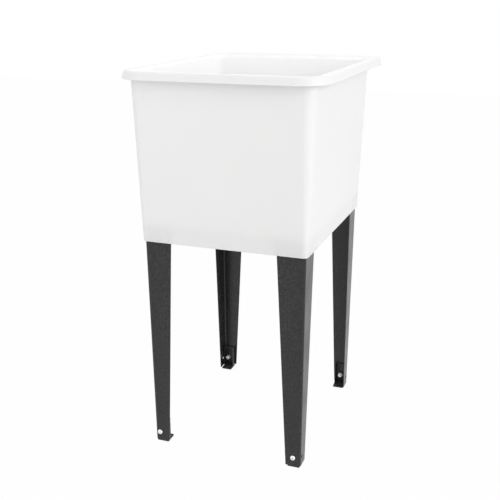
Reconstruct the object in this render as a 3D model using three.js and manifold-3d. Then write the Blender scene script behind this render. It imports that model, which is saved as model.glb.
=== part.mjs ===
// Utility laundry sink: a moulded tub on four tapered angle legs with levelling feet,
// a strainer drain and a rubber stopper. Millimetres, +Z up, the front faces -Y.
// The origin is on the floor, under the middle of the rim.

import * as THREE from 'three';
import { mergeVertices } from 'three/addons/utils/BufferGeometryUtils.js';
import Module from 'manifold-3d';

const wasm = await Module();
wasm.setup();

// ---------------------------------------------------------------- driving dimensions

// Overall
const TOTAL_HEIGHT = 864;
const RIM_WIDTH = 450;
const RIM_DEPTH = 590;

// Rim: a flat top plate with a skirt that slants outwards as it goes down
const RIM_HEIGHT = 17;
const RIM_FLARE = 5.5;
const RIM_CORNER_RADIUS = 65;
const RIM_EDGE_RADIUS = 4;
const RIM_PLATE = 4.5;
const RIM_SKIRT_WALL = 3.5;
const FRONT_OVERHANG = 24.8;
const DECK_RIB_COUNT = 5;
const DECK_RIB_THICKNESS = 3;
const DECK_RIB_RECESS = 4;

// Tub body: every outer wall leans out by the same draft
const TUB_BOTTOM_Z = 498;
const TUB_BOTTOM_DEPTH = 457;
const TUB_DRAFT = THREE.MathUtils.degToRad(1.97);
const TUB_WALL = 3.5;
const TUB_BOTTOM_RADIUS = 11;
const TUB_TOP_RADIUS = 24;

// Basin
const SKIRT_DEPTH = 42;
const BASIN_LIP_RADIUS = 6;
const BASIN_FILLET = 18;
const FLOOR_FALL = 7;
const FLOOR_THICKNESS = 5;

// Legs: tapered steel angle, both flanges alike
const LEG_THICKNESS = 2;
const LEG_WIDTH_AT_TUB = 62.5;
const LEG_WIDTH_AT_FOOT = 34.5;
const LEG_LEAN = 4.5;
const LEG_END_GAP = 1;

// Leg sockets, moulded inside the corners of the tub's skirt
const SOCKET_GAP = 1;
const SOCKET_CLEARANCE = 0.3;
const SOCKET_WALL = 3.5;
const SOCKET_RECESS = 2;
const SOCKET_ROOF = 6.7;

// Levelling feet: a channel against one flange, with a pad on the floor
const FOOT_THICKNESS = 2;
const FOOT_WIDTH = 27.5;
const FOOT_LIP_DEPTH = 14;
const FOOT_INNER_BEND = 1.2;
const FOOT_PAD_DEPTH = 31;
const FOOT_PAD_THICKNESS = 3;
const FOOT_TRAVEL = 20;
const FOOT_ABOVE_SLOT = 9;
const FOOT_SIDE_GAP = 1;

// Foot fasteners
const SCREW_HEIGHT = 25;
const SCREW_DIAMETER = 6;
const SCREW_HEAD_DIAMETER = 12;
const SCREW_HEAD_HEIGHT = 3.6;
const SCREW_HEAD_FLAT = 6.6;
const SCREW_HEAD_EDGE = 0.9;
const SCREW_RECESS_WIDTH = 1.4;
const SCREW_RECESS_SPAN = 6;
const SCREW_RECESS_DEPTH = 1.8;
const SCREW_END = 2;
const SCREW_POINT_BEVEL = 1;
const LEG_HOLE_DIAMETER = 8;
const HOLE_STAGGER = 5.5;
const WASHER_DIAMETER = 12;
const WASHER_THICKNESS = 1.2;
const WASHER_TO_LIP = 1;
const NUT_ACROSS_FLATS = 10;
const NUT_THICKNESS = 5;

// Drain: flanged strainer body clamped through the floor, and a 38 mm tailpiece
const DRAIN_TUBE_DIAMETER = 48;
const DRAIN_WALL = 2.5;
const DRAIN_CUP_DEPTH = 24;
const DRAIN_CUP_LEDGE = 2.5;
const DRAIN_FLANGE_WIDTH = 14.5;
const DRAIN_FLANGE_THICKNESS = 3;
const DRAIN_LENGTH = 60;
const DRAIN_HOLE_CLEARANCE = 1;
const DRAIN_SEAT_DEPTH = 5;
const DRAIN_BOSS_WIDTH = 8;
const GASKET_THICKNESS = 1.6;
const CROSS_ARMS = 3;
const CROSS_ARM_WIDTH = 3;
const CROSS_THICKNESS = 3;
const CROSS_HUB_DIAMETER = 12;
const CROSS_HUB_DEPTH = 8;
const GRID_THICKNESS = 1.5;
const GRID_HOLES = 8;
const GRID_HOLE_DIAMETER = 6;
const GRID_SCREW_DIAMETER = 4;
const GRID_SCREW_HEAD_DIAMETER = 8;
const GRID_SCREW_HEAD_HEIGHT = 2;
const GRID_SCREW_HEAD_FLAT = 4.8;
const GRID_SCREW_LENGTH = 7;
const FRICTION_WASHER_THICKNESS = 2.5;
const LOCKNUT_WIDTH = 11;
const LOCKNUT_THICKNESS = 10;
const LOCKNUT_LUGS = 8;
const LOCKNUT_LUG_WIDTH = 9;
const LOCKNUT_LUG_HEIGHT = 4;
const TAILPIECE_DIAMETER = 38;
const TAILPIECE_WALL = 1.5;
const TAILPIECE_LENGTH = 34;
const TAILPIECE_FLANGE_INSET = 1;
const TAILPIECE_FLANGE_THICKNESS = 2;
const TAILPIECE_WASHER_THICKNESS = 2;
const COUPLING_WALL = 2.5;
const COUPLING_GRIP = 12;
const COUPLING_LIP = 3;
const COUPLING_FLATS = 8;

// Stopper: tapered rubber plug with a knob and a pull ring
const STOPPER_FLANGE_WIDTH = 6;
const STOPPER_FLANGE_THICKNESS = 2.5;
const STOPPER_PLUG_LENGTH = 12;
const STOPPER_TAPER = 1.6;
const STOPPER_EDGE = 1;
const STOPPER_KNOB_DIAMETER = 12;
const STOPPER_KNOB_HEIGHT = 12;
const STOPPER_KNOB_FOOT = 1.5;
const STOPPER_KNOB_BEVEL = 2;
const STOPPER_EYE_DIAMETER = 5;
const STOPPER_EYE_FROM_TOP = 5;
const RING_DIAMETER = 22;
const RING_WIRE = 2;

// Clearances between separate pieces, and the least bend that sheet steel takes
const SEAT_GAP = 0.3;
const THREAD_GAP = 0.3;
const LEAST_INNER_BEND = 1;

// Facets
const CORNER_SEGMENTS = 8;
const ROUND_SEGMENTS = 32;
const SMALL_SEGMENTS = 20;
const CURVE_STEPS = 4;
const WIRE_SEGMENTS = 8;

// ---------------------------------------------------------------- derived sizes

const OVERLAP = 1;
const DRAFT_SLOPE = Math.tan(TUB_DRAFT);
const TUB_HEIGHT = TOTAL_HEIGHT - TUB_BOTTOM_Z;
const TUB_SPREAD = DRAFT_SLOPE * TUB_HEIGHT;
const TUB_BOTTOM_WIDTH = RIM_WIDTH - 2 * FRONT_OVERHANG - 2 * TUB_SPREAD;
const TUB_CENTRE_Y = -RIM_DEPTH / 2 + FRONT_OVERHANG + TUB_SPREAD + TUB_BOTTOM_DEPTH / 2;
const FLOOR_EDGE_Z = TUB_BOTTOM_Z + SKIRT_DEPTH;
const FLOOR_CENTRE_Z = FLOOR_EDGE_Z - FLOOR_FALL;
const RIM_BOTTOM_Z = TOTAL_HEIGHT - RIM_HEIGHT;

const SOCKET_MOUTH_Z = TUB_BOTTOM_Z + SOCKET_RECESS;
const SOCKET_TOP_Z = FLOOR_EDGE_Z - FLOOR_THICKNESS - SOCKET_ROOF;
const LEG_TOP_Z = SOCKET_TOP_Z - SEAT_GAP;
const LEG_END_Z = FOOT_PAD_THICKNESS + LEG_END_GAP;
const LEG_BEND_RADIUS = Math.max(LEG_THICKNESS + LEAST_INNER_BEND, TUB_BOTTOM_RADIUS - TUB_WALL - SOCKET_GAP);
const LEG_FOLD_X = TUB_BOTTOM_WIDTH / 2 - TUB_WALL - SOCKET_GAP;
const LEG_FOLD_Y = TUB_BOTTOM_DEPTH / 2 - TUB_WALL - SOCKET_GAP;

const FOOT_HEIGHT = SCREW_HEIGHT + FOOT_TRAVEL + LEG_HOLE_DIAMETER / 2 + FOOT_ABOVE_SLOT;
const FOOT_EDGE_FROM_FOLD = LEG_THICKNESS + FOOT_SIDE_GAP;
const HOLE_FROM_FOLD_NEAR = FOOT_EDGE_FROM_FOLD + FOOT_THICKNESS + WASHER_TO_LIP + WASHER_DIAMETER / 2;
const HOLE_FROM_FOLD_FAR = HOLE_FROM_FOLD_NEAR + HOLE_STAGGER;

const DRAIN_CUP_DIAMETER = DRAIN_TUBE_DIAMETER - 2 * DRAIN_WALL;
const DRAIN_BORE = DRAIN_CUP_DIAMETER - 2 * DRAIN_CUP_LEDGE;
const DRAIN_FLANGE_DIAMETER = DRAIN_CUP_DIAMETER + 2 * DRAIN_FLANGE_WIDTH;
const LOCKNUT_DIAMETER = DRAIN_TUBE_DIAMETER + 2 * LOCKNUT_WIDTH;
const TAILPIECE_FLANGE_DIAMETER = DRAIN_TUBE_DIAMETER - 2 * TAILPIECE_FLANGE_INSET;
const DRAIN_SEAT_Z = FLOOR_CENTRE_Z - DRAIN_SEAT_DEPTH;
const DRAIN_UNDERSIDE_Z = DRAIN_SEAT_Z - FLOOR_THICKNESS;
const FLANGE_UNDER_Z = DRAIN_SEAT_Z + GASKET_THICKNESS + 2 * SEAT_GAP;
const FLANGE_TOP_Z = FLANGE_UNDER_Z + DRAIN_FLANGE_THICKNESS;
const DRAIN_END_Z = FLANGE_TOP_Z - DRAIN_LENGTH;
const CUP_FLOOR_Z = FLANGE_TOP_Z - DRAIN_CUP_DEPTH;
const CROSS_TOP_Z = CUP_FLOOR_Z + SEAT_GAP + CROSS_THICKNESS;
const GRID_TOP_Z = CROSS_TOP_Z + SEAT_GAP + GRID_THICKNESS;
const DRAIN_HOLE_DIAMETER = DRAIN_TUBE_DIAMETER + 2 * DRAIN_HOLE_CLEARANCE;
const DRAIN_SEAT_DIAMETER = DRAIN_FLANGE_DIAMETER + 2 * DRAIN_HOLE_CLEARANCE;
const DRAIN_BOSS_DIAMETER = DRAIN_SEAT_DIAMETER + 2 * DRAIN_BOSS_WIDTH;

// ---------------------------------------------------------------- materials

function finish(name, color, roughness, metalness) {
  return new THREE.MeshStandardMaterial({ name, color, roughness, metalness });
}

const whitePlastic = () => finish('white_polypropylene', 0xf2f2f0, 0.38, 0);
const blackPaint = () => finish('black_painted_steel', 0x17181a, 0.42, 0);
const brightZinc = () => finish('bright_zinc', 0xc9ccd0, 0.3, 1);
const blackRubber = () => finish('black_rubber', 0x1c1c1c, 0.8, 0);
const drainPlastic = () => finish('white_drain_plastic', 0xe6e6e2, 0.45, 0);
const stainless = () => finish('stainless_steel', 0xb9bcc0, 0.28, 1);

// ---------------------------------------------------------------- solids

/** A closed three.js geometry as a solid that can be joined and cut. */
function toSolid(geometry) {
  const bare = geometry.clone();
  for (const name of Object.keys(bare.attributes)) {
    if (name !== 'position') bare.deleteAttribute(name);
  }
  const merged = mergeVertices(bare, 1e-4);
  return new wasm.Manifold(new wasm.Mesh({
    numProp: 3,
    vertProperties: new Float32Array(merged.attributes.position.array),
    triVerts: new Uint32Array(merged.index.array),
  }));
}

/** A solid as a three.js geometry. */
function toGeometry(solid) {
  const mesh = solid.getMesh();
  const geometry = new THREE.BufferGeometry();
  geometry.setAttribute('position', new THREE.BufferAttribute(new Float32Array(mesh.vertProperties), 3));
  geometry.setIndex(new THREE.BufferAttribute(new Uint32Array(mesh.triVerts), 1));
  geometry.computeVertexNormals();
  return geometry;
}

/** A closed skin over flat rings of equal point counts, with both ends capped. */
function loft(rings) {
  const count = rings[0].length;
  const positions = rings.flatMap((ring) => ring.flatMap((p) => [p.x, p.y, p.z]));
  const faces = [];
  for (let r = 0; r + 1 < rings.length; r += 1) {
    for (let i = 0; i < count; i += 1) {
      const a = r * count + i;
      const b = r * count + ((i + 1) % count);
      faces.push(a, b, b + count, a, b + count, a + count);
    }
  }
  const flat = (ring) => ring.map((p) => new THREE.Vector2(p.x, p.y));
  const cap = (ring) => THREE.ShapeUtils.triangulateShape(flat(ring), []);
  const last = (rings.length - 1) * count;
  for (const [a, b, c] of cap(rings[0])) faces.push(a, c, b);
  for (const [a, b, c] of cap(rings[rings.length - 1])) faces.push(last + a, last + b, last + c);
  const geometry = new THREE.BufferGeometry();
  geometry.setAttribute('position', new THREE.Float32BufferAttribute(positions, 3));
  geometry.setIndex(faces);
  return geometry;
}

/** A rounded rectangle as a ring of points at one height. */
function roundedRing(width, depth, radius, z, centreY = 0) {
  const r = Math.min(radius, width / 2 - 0.01, depth / 2 - 0.01);
  const ring = [];
  const corners = [[1, 1], [-1, 1], [-1, -1], [1, -1]];
  corners.forEach(([sx, sy], quarter) => {
    for (let k = 0; k <= CORNER_SEGMENTS; k += 1) {
      const angle = (quarter + k / CORNER_SEGMENTS) * Math.PI / 2;
      const x = sx * (width / 2 - r) + r * Math.cos(angle);
      const y = centreY + sy * (depth / 2 - r) + r * Math.sin(angle);
      ring.push(new THREE.Vector3(x, y, z));
    }
  });
  return ring;
}

/** A solid of revolution about +Z from [radius, height] points. */
function turned(points, segments = ROUND_SEGMENTS) {
  const profile = points.map(([radius, height]) => new THREE.Vector2(radius, height));
  const geometry = new THREE.LatheGeometry(profile, segments);
  geometry.rotateX(Math.PI / 2);
  return geometry;
}

/** A solid ring about +Z between two radii and two heights. */
function washerShape(inner, outer, low, high, segments = ROUND_SEGMENTS) {
  return turned([[inner, low], [outer, low], [outer, high], [inner, high], [inner, low]], segments);
}

/** A round bar between two heights on the +Z axis. */
function post(radius, low, high, segments = ROUND_SEGMENTS) {
  const geometry = new THREE.CylinderGeometry(radius, radius, high - low, segments);
  geometry.rotateX(Math.PI / 2);
  geometry.translate(0, 0, (low + high) / 2);
  return geometry;
}

/** A box from its low and high corners, given in either order along each axis. */
function block(a, b) {
  const size = [0, 1, 2].map((i) => Math.abs(b[i] - a[i]));
  const geometry = new THREE.BoxGeometry(...size);
  geometry.translate((a[0] + b[0]) / 2, (a[1] + b[1]) / 2, (a[2] + b[2]) / 2);
  return geometry;
}

/** A cylinder whose axis runs along X or Y through a point. */
function crossHole(axis, radius, length, x, y, z) {
  const geometry = new THREE.CylinderGeometry(radius, radius, length, SMALL_SEGMENTS);
  if (axis === 'x') geometry.rotateZ(Math.PI / 2);
  geometry.translate(x, y, z);
  return geometry;
}

function namedMesh(name, geometry, material) {
  const mesh = new THREE.Mesh(geometry, material);
  mesh.name = name;
  return mesh;
}

// ---------------------------------------------------------------- tub

/** The body's outer outline at a height, moved inwards by an inset. */
function bodyRing(z, inset, extraRadius = 0) {
  const rise = z - TUB_BOTTOM_Z;
  const width = TUB_BOTTOM_WIDTH + 2 * DRAFT_SLOPE * rise - 2 * inset;
  const depth = TUB_BOTTOM_DEPTH + 2 * DRAFT_SLOPE * rise - 2 * inset;
  const outer = THREE.MathUtils.lerp(TUB_BOTTOM_RADIUS, TUB_TOP_RADIUS, rise / TUB_HEIGHT);
  const radius = Math.max(outer - inset, 1) + extraRadius;
  return roundedRing(width, depth, radius, z, TUB_CENTRE_Y);
}

/** The rim's outer outline at a height, moved inwards by an inset. */
function rimRing(z, inset) {
  const flare = RIM_FLARE * (z - RIM_BOTTOM_Z) / RIM_HEIGHT;
  const total = inset + flare;
  const radius = Math.max(RIM_CORNER_RADIUS - total, 1);
  return roundedRing(RIM_WIDTH - 2 * total, RIM_DEPTH - 2 * total, radius, z);
}

/** The rim as a solid slab with a rounded top edge. */
function rimSlab() {
  const rings = [rimRing(RIM_BOTTOM_Z, 0)];
  for (let k = 0; k <= CURVE_STEPS; k += 1) {
    const angle = (k / CURVE_STEPS) * Math.PI / 2;
    const inset = RIM_EDGE_RADIUS * (1 - Math.cos(angle));
    rings.push(rimRing(TOTAL_HEIGHT - RIM_EDGE_RADIUS * (1 - Math.sin(angle)), inset));
  }
  return toSolid(loft(rings));
}

/** The space under the rim plate, inside its skirt. */
function rimHollow() {
  const low = RIM_BOTTOM_Z - OVERLAP;
  const high = TOTAL_HEIGHT - RIM_PLATE;
  return toSolid(loft([rimRing(low, RIM_SKIRT_WALL), rimRing(high, RIM_SKIRT_WALL)]));
}

/** Straight ribs that stiffen the wide back deck from below. */
function deckRibs() {
  const low = RIM_BOTTOM_Z + DECK_RIB_RECESS;
  const high = TOTAL_HEIGHT - RIM_PLATE / 2;
  const wallY = TUB_CENTRE_Y + TUB_BOTTOM_DEPTH / 2 + DRAFT_SLOPE * (low - TUB_BOTTOM_Z) - TUB_WALL / 2;
  const span = RIM_WIDTH - 2 * RIM_CORNER_RADIUS;
  let ribs = null;
  for (let k = 0; k < DECK_RIB_COUNT; k += 1) {
    const x = span * (k / (DECK_RIB_COUNT - 1) - 0.5);
    const half = DECK_RIB_THICKNESS / 2;
    const rib = toSolid(block([x - half, wallY, low], [x + half, RIM_DEPTH / 2, high]));
    ribs = ribs ? ribs.add(rib) : rib;
  }
  return ribs;
}

/** The inside of the basin: lip, walls, fillet, sloping floor and the drain's seat. */
function basinCavity() {
  const rings = [];
  const seatRing = (diameter, z) => roundedRing(diameter, diameter, diameter / 2, z, TUB_CENTRE_Y);
  rings.push(seatRing(DRAIN_SEAT_DIAMETER, DRAIN_SEAT_Z));
  rings.push(seatRing(DRAIN_SEAT_DIAMETER, FLOOR_CENTRE_Z));
  for (let k = 0; k <= CURVE_STEPS; k += 1) {
    const angle = (k / CURVE_STEPS) * Math.PI / 2;
    const reach = BASIN_FILLET * (1 - Math.sin(angle));
    rings.push(bodyRing(FLOOR_EDGE_Z + BASIN_FILLET * (1 - Math.cos(angle)), TUB_WALL + reach, reach));
  }
  rings.push(bodyRing((FLOOR_EDGE_Z + TOTAL_HEIGHT) / 2, TUB_WALL));
  for (let k = 0; k <= CURVE_STEPS; k += 1) {
    const angle = (k / CURVE_STEPS) * Math.PI / 2;
    const inset = TUB_WALL - BASIN_LIP_RADIUS * (1 - Math.cos(angle));
    rings.push(bodyRing(TOTAL_HEIGHT - BASIN_LIP_RADIUS * (1 - Math.sin(angle)), inset));
  }
  rings.push(bodyRing(TOTAL_HEIGHT + OVERLAP, TUB_WALL - BASIN_LIP_RADIUS));
  return toSolid(loft(rings));
}

/** The space below the floor, inside the skirt. Its roof falls to the drain's boss. */
function undersideCavity() {
  const size = DRAIN_BOSS_DIAMETER;
  return toSolid(loft([
    bodyRing(TUB_BOTTOM_Z - OVERLAP, TUB_WALL),
    bodyRing(FLOOR_EDGE_Z - FLOOR_THICKNESS, TUB_WALL),
    roundedRing(size, size, size / 2, FLOOR_CENTRE_Z - FLOOR_THICKNESS, TUB_CENTRE_Y),
  ]));
}

/** The outline of a leg's angle section for a corner, at a height. */
function angleRing(sx, sy, foldX, foldY, width, thickness, bend, z) {
  const inner = Math.max(bend - thickness, LEAST_INNER_BEND);
  const outer = Math.max(bend, thickness + inner);
  const local = [[width, 0]];
  for (let k = 0; k <= CURVE_STEPS; k += 1) {
    const angle = (k / CURVE_STEPS) * Math.PI / 2;
    local.push([outer - outer * Math.sin(angle), outer - outer * Math.cos(angle)]);
  }
  local.push([0, width], [thickness, width]);
  for (let k = CURVE_STEPS; k >= 0; k -= 1) {
    const angle = (k / CURVE_STEPS) * Math.PI / 2;
    local.push([outer - inner * Math.sin(angle), outer - inner * Math.cos(angle)]);
  }
  local.push([width, thickness]);
  const ring = local.map(([u, v]) => new THREE.Vector3(
    sx * (foldX - u),
    TUB_CENTRE_Y + sy * (foldY - v),
    z,
  ));
  return sx * sy > 0 ? ring.reverse() : ring;
}

/** How far a leg's fold line stands out at a height, and how wide its flanges are there. */
function legAt(z) {
  const along = (TUB_BOTTOM_Z - z) / TUB_BOTTOM_Z;
  return {
    x: LEG_FOLD_X - LEG_LEAN * along,
    y: LEG_FOLD_Y - LEG_LEAN * along,
    width: THREE.MathUtils.lerp(LEG_WIDTH_AT_TUB, LEG_WIDTH_AT_FOOT, along),
  };
}

/** One moulded socket: a corner block, and the slot that the leg's angle fills. */
function legSocket(sx, sy) {
  const top = legAt(SOCKET_TOP_Z);
  const mouth = legAt(TUB_BOTTOM_Z);
  const slotDepth = top.x - mouth.x + LEG_THICKNESS + 2 * SOCKET_CLEARANCE;
  const slotX = top.x + SOCKET_CLEARANCE;
  const slotY = top.y + SOCKET_CLEARANCE;
  const slotWidth = top.width + 2 * SOCKET_CLEARANCE;
  const slotBend = LEG_BEND_RADIUS + SOCKET_CLEARANCE;
  const slotRing = (z) => angleRing(sx, sy, slotX, slotY, slotWidth, slotDepth, slotBend, z);
  const slot = loft([slotRing(TUB_BOTTOM_Z - OVERLAP), slotRing(SOCKET_TOP_Z)]);
  const skin = SOCKET_GAP + TUB_WALL;
  const arm = skin + slotWidth + SOCKET_WALL;
  const thick = skin + slotDepth + SOCKET_WALL;
  const blockRing = (z) => angleRing(sx, sy, slotX + skin, slotY + skin, arm, thick, TUB_BOTTOM_RADIUS, z);
  const corner = loft([blockRing(SOCKET_MOUTH_Z), blockRing(FLOOR_EDGE_Z - FLOOR_THICKNESS / 2)]);
  return { corner: toSolid(corner), slot: toSolid(slot) };
}

const CORNERS = [
  { tag: 'front_left', sx: -1, sy: -1 },
  { tag: 'front_right', sx: 1, sy: -1 },
  { tag: 'back_left', sx: -1, sy: 1 },
  { tag: 'back_right', sx: 1, sy: 1 },
];

function makeTub() {
  const outer = toSolid(loft([bodyRing(TUB_BOTTOM_Z, 0), bodyRing(TOTAL_HEIGHT - RIM_PLATE / 2, 0)]));
  const slab = rimSlab();
  const ribs = deckRibs().intersect(slab);
  let tub = slab.subtract(rimHollow()).add(ribs).add(outer);
  tub = tub.subtract(basinCavity()).subtract(undersideCavity());
  for (const { sx, sy } of CORNERS) {
    const { corner, slot } = legSocket(sx, sy);
    tub = tub.add(corner.intersect(outer)).subtract(slot);
  }
  const boss = toSolid(post(DRAIN_BOSS_DIAMETER / 2, DRAIN_UNDERSIDE_Z, FLOOR_CENTRE_Z));
  const seat = toSolid(post(DRAIN_SEAT_DIAMETER / 2, DRAIN_SEAT_Z, TOTAL_HEIGHT));
  const hole = toSolid(post(DRAIN_HOLE_DIAMETER / 2, TUB_BOTTOM_Z, TOTAL_HEIGHT));
  const toDrain = [0, TUB_CENTRE_Y, 0];
  tub = tub.add(boss.subtract(seat).translate(toDrain)).subtract(hole.translate(toDrain));
  return namedMesh('tub', toGeometry(tub), whitePlastic());
}

// ---------------------------------------------------------------- legs and feet

/** Where a corner's foot screw stands, and how far its hole is from the leg's fold. */
function screwPlace({ sx, sy }) {
  const fold = legAt(SCREW_HEIGHT);
  const fromFold = sx < 0 ? HOLE_FROM_FOLD_NEAR : HOLE_FROM_FOLD_FAR;
  return {
    x: sx * (fold.x - fromFold),
    y: TUB_CENTRE_Y + sy * fold.y,
    sideFromFold: sx < 0 ? HOLE_FROM_FOLD_FAR : HOLE_FROM_FOLD_NEAR,
    sideX: sx * fold.x,
    foldY: fold.y,
  };
}

function makeLeg(corner) {
  const { tag, sx, sy } = corner;
  const rings = [LEG_END_Z, LEG_TOP_Z].map((z) => {
    const { x, y, width } = legAt(z);
    return angleRing(sx, sy, x, y, width, LEG_THICKNESS, LEG_BEND_RADIUS, z);
  });
  const place = screwPlace(corner);
  const reach = 4 * LEG_THICKNESS;
  const radius = LEG_HOLE_DIAMETER / 2;
  const sideY = TUB_CENTRE_Y + sy * (place.foldY - place.sideFromFold);
  const leg = toSolid(loft(rings))
    .subtract(toSolid(crossHole('y', radius, reach, place.x, place.y, SCREW_HEIGHT)))
    .subtract(toSolid(crossHole('x', radius, reach, place.sideX, sideY, SCREW_HEIGHT)));
  return namedMesh(`leg_${tag}`, toGeometry(leg), blackPaint());
}

/** The plane of a foot's web: how far its outer face is from the tub's middle, along Y. */
function footWebY() {
  return legAt(LEG_END_Z).y - LEG_THICKNESS - SEAT_GAP;
}

/** A foot's channel section: a web with two lips, drawn from the web's outer face. */
function channelShape() {
  const inner = FOOT_INNER_BEND;
  const outer = FOOT_THICKNESS + inner;
  const shape = new THREE.Shape();
  shape.moveTo(0, FOOT_LIP_DEPTH);
  shape.lineTo(0, outer);
  shape.absarc(outer, outer, outer, Math.PI, 1.5 * Math.PI, false);
  shape.lineTo(FOOT_WIDTH - outer, 0);
  shape.absarc(FOOT_WIDTH - outer, outer, outer, 1.5 * Math.PI, 2 * Math.PI, false);
  shape.lineTo(FOOT_WIDTH, FOOT_LIP_DEPTH);
  shape.lineTo(FOOT_WIDTH - FOOT_THICKNESS, FOOT_LIP_DEPTH);
  shape.lineTo(FOOT_WIDTH - FOOT_THICKNESS, outer);
  shape.absarc(FOOT_WIDTH - outer, outer, inner, 0, -Math.PI / 2, true);
  shape.lineTo(outer, FOOT_THICKNESS);
  shape.absarc(outer, outer, inner, 1.5 * Math.PI, Math.PI, true);
  shape.lineTo(FOOT_THICKNESS, FOOT_LIP_DEPTH);
  shape.closePath();
  return shape;
}

function makeFoot(corner) {
  const { tag, sx, sy } = corner;
  const channel = toSolid(new THREE.ExtrudeGeometry(channelShape(), {
    depth: FOOT_HEIGHT, bevelEnabled: false, curveSegments: CURVE_STEPS,
  }));
  const pad = toSolid(block([0, 0, 0], [FOOT_WIDTH, FOOT_PAD_DEPTH, FOOT_PAD_THICKNESS]));
  const place = screwPlace(corner);
  const edgeX = legAt(LEG_END_Z).x - FOOT_EDGE_FROM_FOLD;
  const slotU = edgeX - Math.abs(place.x);
  const half = LEG_HOLE_DIAMETER / 2;
  const slotTop = SCREW_HEIGHT + FOOT_TRAVEL;
  const slotMiddle = block(
    [slotU - half, -OVERLAP, SCREW_HEIGHT],
    [slotU + half, FOOT_THICKNESS + OVERLAP, slotTop],
  );
  const slotEnd = (z) => toSolid(crossHole('y', half, 4 * FOOT_THICKNESS, slotU, 0, z));
  const slot = toSolid(slotMiddle).add(slotEnd(SCREW_HEIGHT)).add(slotEnd(slotTop));
  const foot = channel.add(pad).subtract(slot);
  const geometry = toGeometry(foot);
  const flip = new THREE.Matrix4().makeScale(-sx, -sy, 1);
  flip.setPosition(sx * edgeX, TUB_CENTRE_Y + sy * footWebY(), 0);
  geometry.applyMatrix4(flip);
  if (sx * sy < 0) {
    geometry.setIndex(Array.from(geometry.index.array).reverse());
  }
  geometry.computeVertexNormals();
  return namedMesh(`foot_${tag}`, geometry, blackPaint());
}

/** Sizes along a foot screw, measured inwards from the leg's outer face. */
function screwStack() {
  const web = legAt(SCREW_HEIGHT).y - footWebY();
  const washer = web + FOOT_THICKNESS + SEAT_GAP;
  const nut = washer + WASHER_THICKNESS + SEAT_GAP;
  return { washer, nut, end: nut + NUT_THICKNESS + SCREW_END };
}

/** A pan-head screw: its head below zero and its shank up +Z, with a cross recess. */
function footScrew(length) {
  const radius = SCREW_DIAMETER / 2;
  const head = SCREW_HEAD_DIAMETER / 2;
  const flat = SCREW_HEAD_FLAT / 2;
  const seatZ = -SEAT_GAP;
  const faceZ = seatZ - SCREW_HEAD_HEIGHT;
  const edgeZ = seatZ - SCREW_HEAD_EDGE;
  const profile = [[0, faceZ]];
  for (let k = 0; k <= CURVE_STEPS; k += 1) {
    const angle = (k / CURVE_STEPS) * Math.PI / 2;
    profile.push([flat + (head - flat) * Math.sin(angle), edgeZ + (faceZ - edgeZ) * Math.cos(angle)]);
  }
  profile.push(
    [head, seatZ],
    [radius, seatZ],
    [radius, length - SCREW_POINT_BEVEL],
    [radius - SCREW_POINT_BEVEL, length],
    [0, length],
  );
  const bar = (x, y) => toSolid(block(
    [-x / 2, -y / 2, faceZ - OVERLAP],
    [x / 2, y / 2, faceZ + SCREW_RECESS_DEPTH],
  ));
  return toSolid(turned(profile, SMALL_SEGMENTS))
    .subtract(bar(SCREW_RECESS_SPAN, SCREW_RECESS_WIDTH))
    .subtract(bar(SCREW_RECESS_WIDTH, SCREW_RECESS_SPAN));
}

function hexNut(low, high) {
  const sides = 6;
  const corner = NUT_ACROSS_FLATS / 2 / Math.cos(Math.PI / sides);
  const nut = toSolid(post(corner, low, high, sides));
  const bore = toSolid(post(SCREW_DIAMETER / 2 + THREAD_GAP, low - OVERLAP, high + OVERLAP, SMALL_SEGMENTS));
  return nut.subtract(bore);
}

/** A corner's screw, washer and nut, in a group turned so that +Z points into the leg. */
function makeFootFasteners(corner) {
  const { tag, sy } = corner;
  const place = screwPlace(corner);
  const stack = screwStack();
  const group = new THREE.Group();
  group.position.set(place.x, place.y, SCREW_HEIGHT);
  group.rotation.x = sy * Math.PI / 2;
  const washer = washerShape(
    SCREW_DIAMETER / 2 + THREAD_GAP,
    WASHER_DIAMETER / 2,
    stack.washer,
    stack.washer + WASHER_THICKNESS,
    SMALL_SEGMENTS,
  );
  const nut = hexNut(stack.nut, stack.nut + NUT_THICKNESS);
  group.add(namedMesh(`foot_screw_${tag}`, toGeometry(footScrew(stack.end)), brightZinc()));
  group.add(namedMesh(`foot_washer_${tag}`, washer, brightZinc()));
  group.add(namedMesh(`foot_nut_${tag}`, toGeometry(nut), brightZinc()));
  return group;
}

// ---------------------------------------------------------------- drain

/** The strainer body: flange, cup and bore. */
function drainBody() {
  const flange = DRAIN_FLANGE_DIAMETER / 2;
  const tube = DRAIN_TUBE_DIAMETER / 2;
  const cup = DRAIN_CUP_DIAMETER / 2;
  const bore = DRAIN_BORE / 2;
  return turned([
    [bore, DRAIN_END_Z],
    [tube, DRAIN_END_Z],
    [tube, FLANGE_UNDER_Z],
    [flange, FLANGE_UNDER_Z],
    [flange, FLANGE_TOP_Z],
    [cup, FLANGE_TOP_Z],
    [cup, CUP_FLOOR_Z],
    [bore, CUP_FLOOR_Z],
    [bore, DRAIN_END_Z],
  ]);
}

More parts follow.
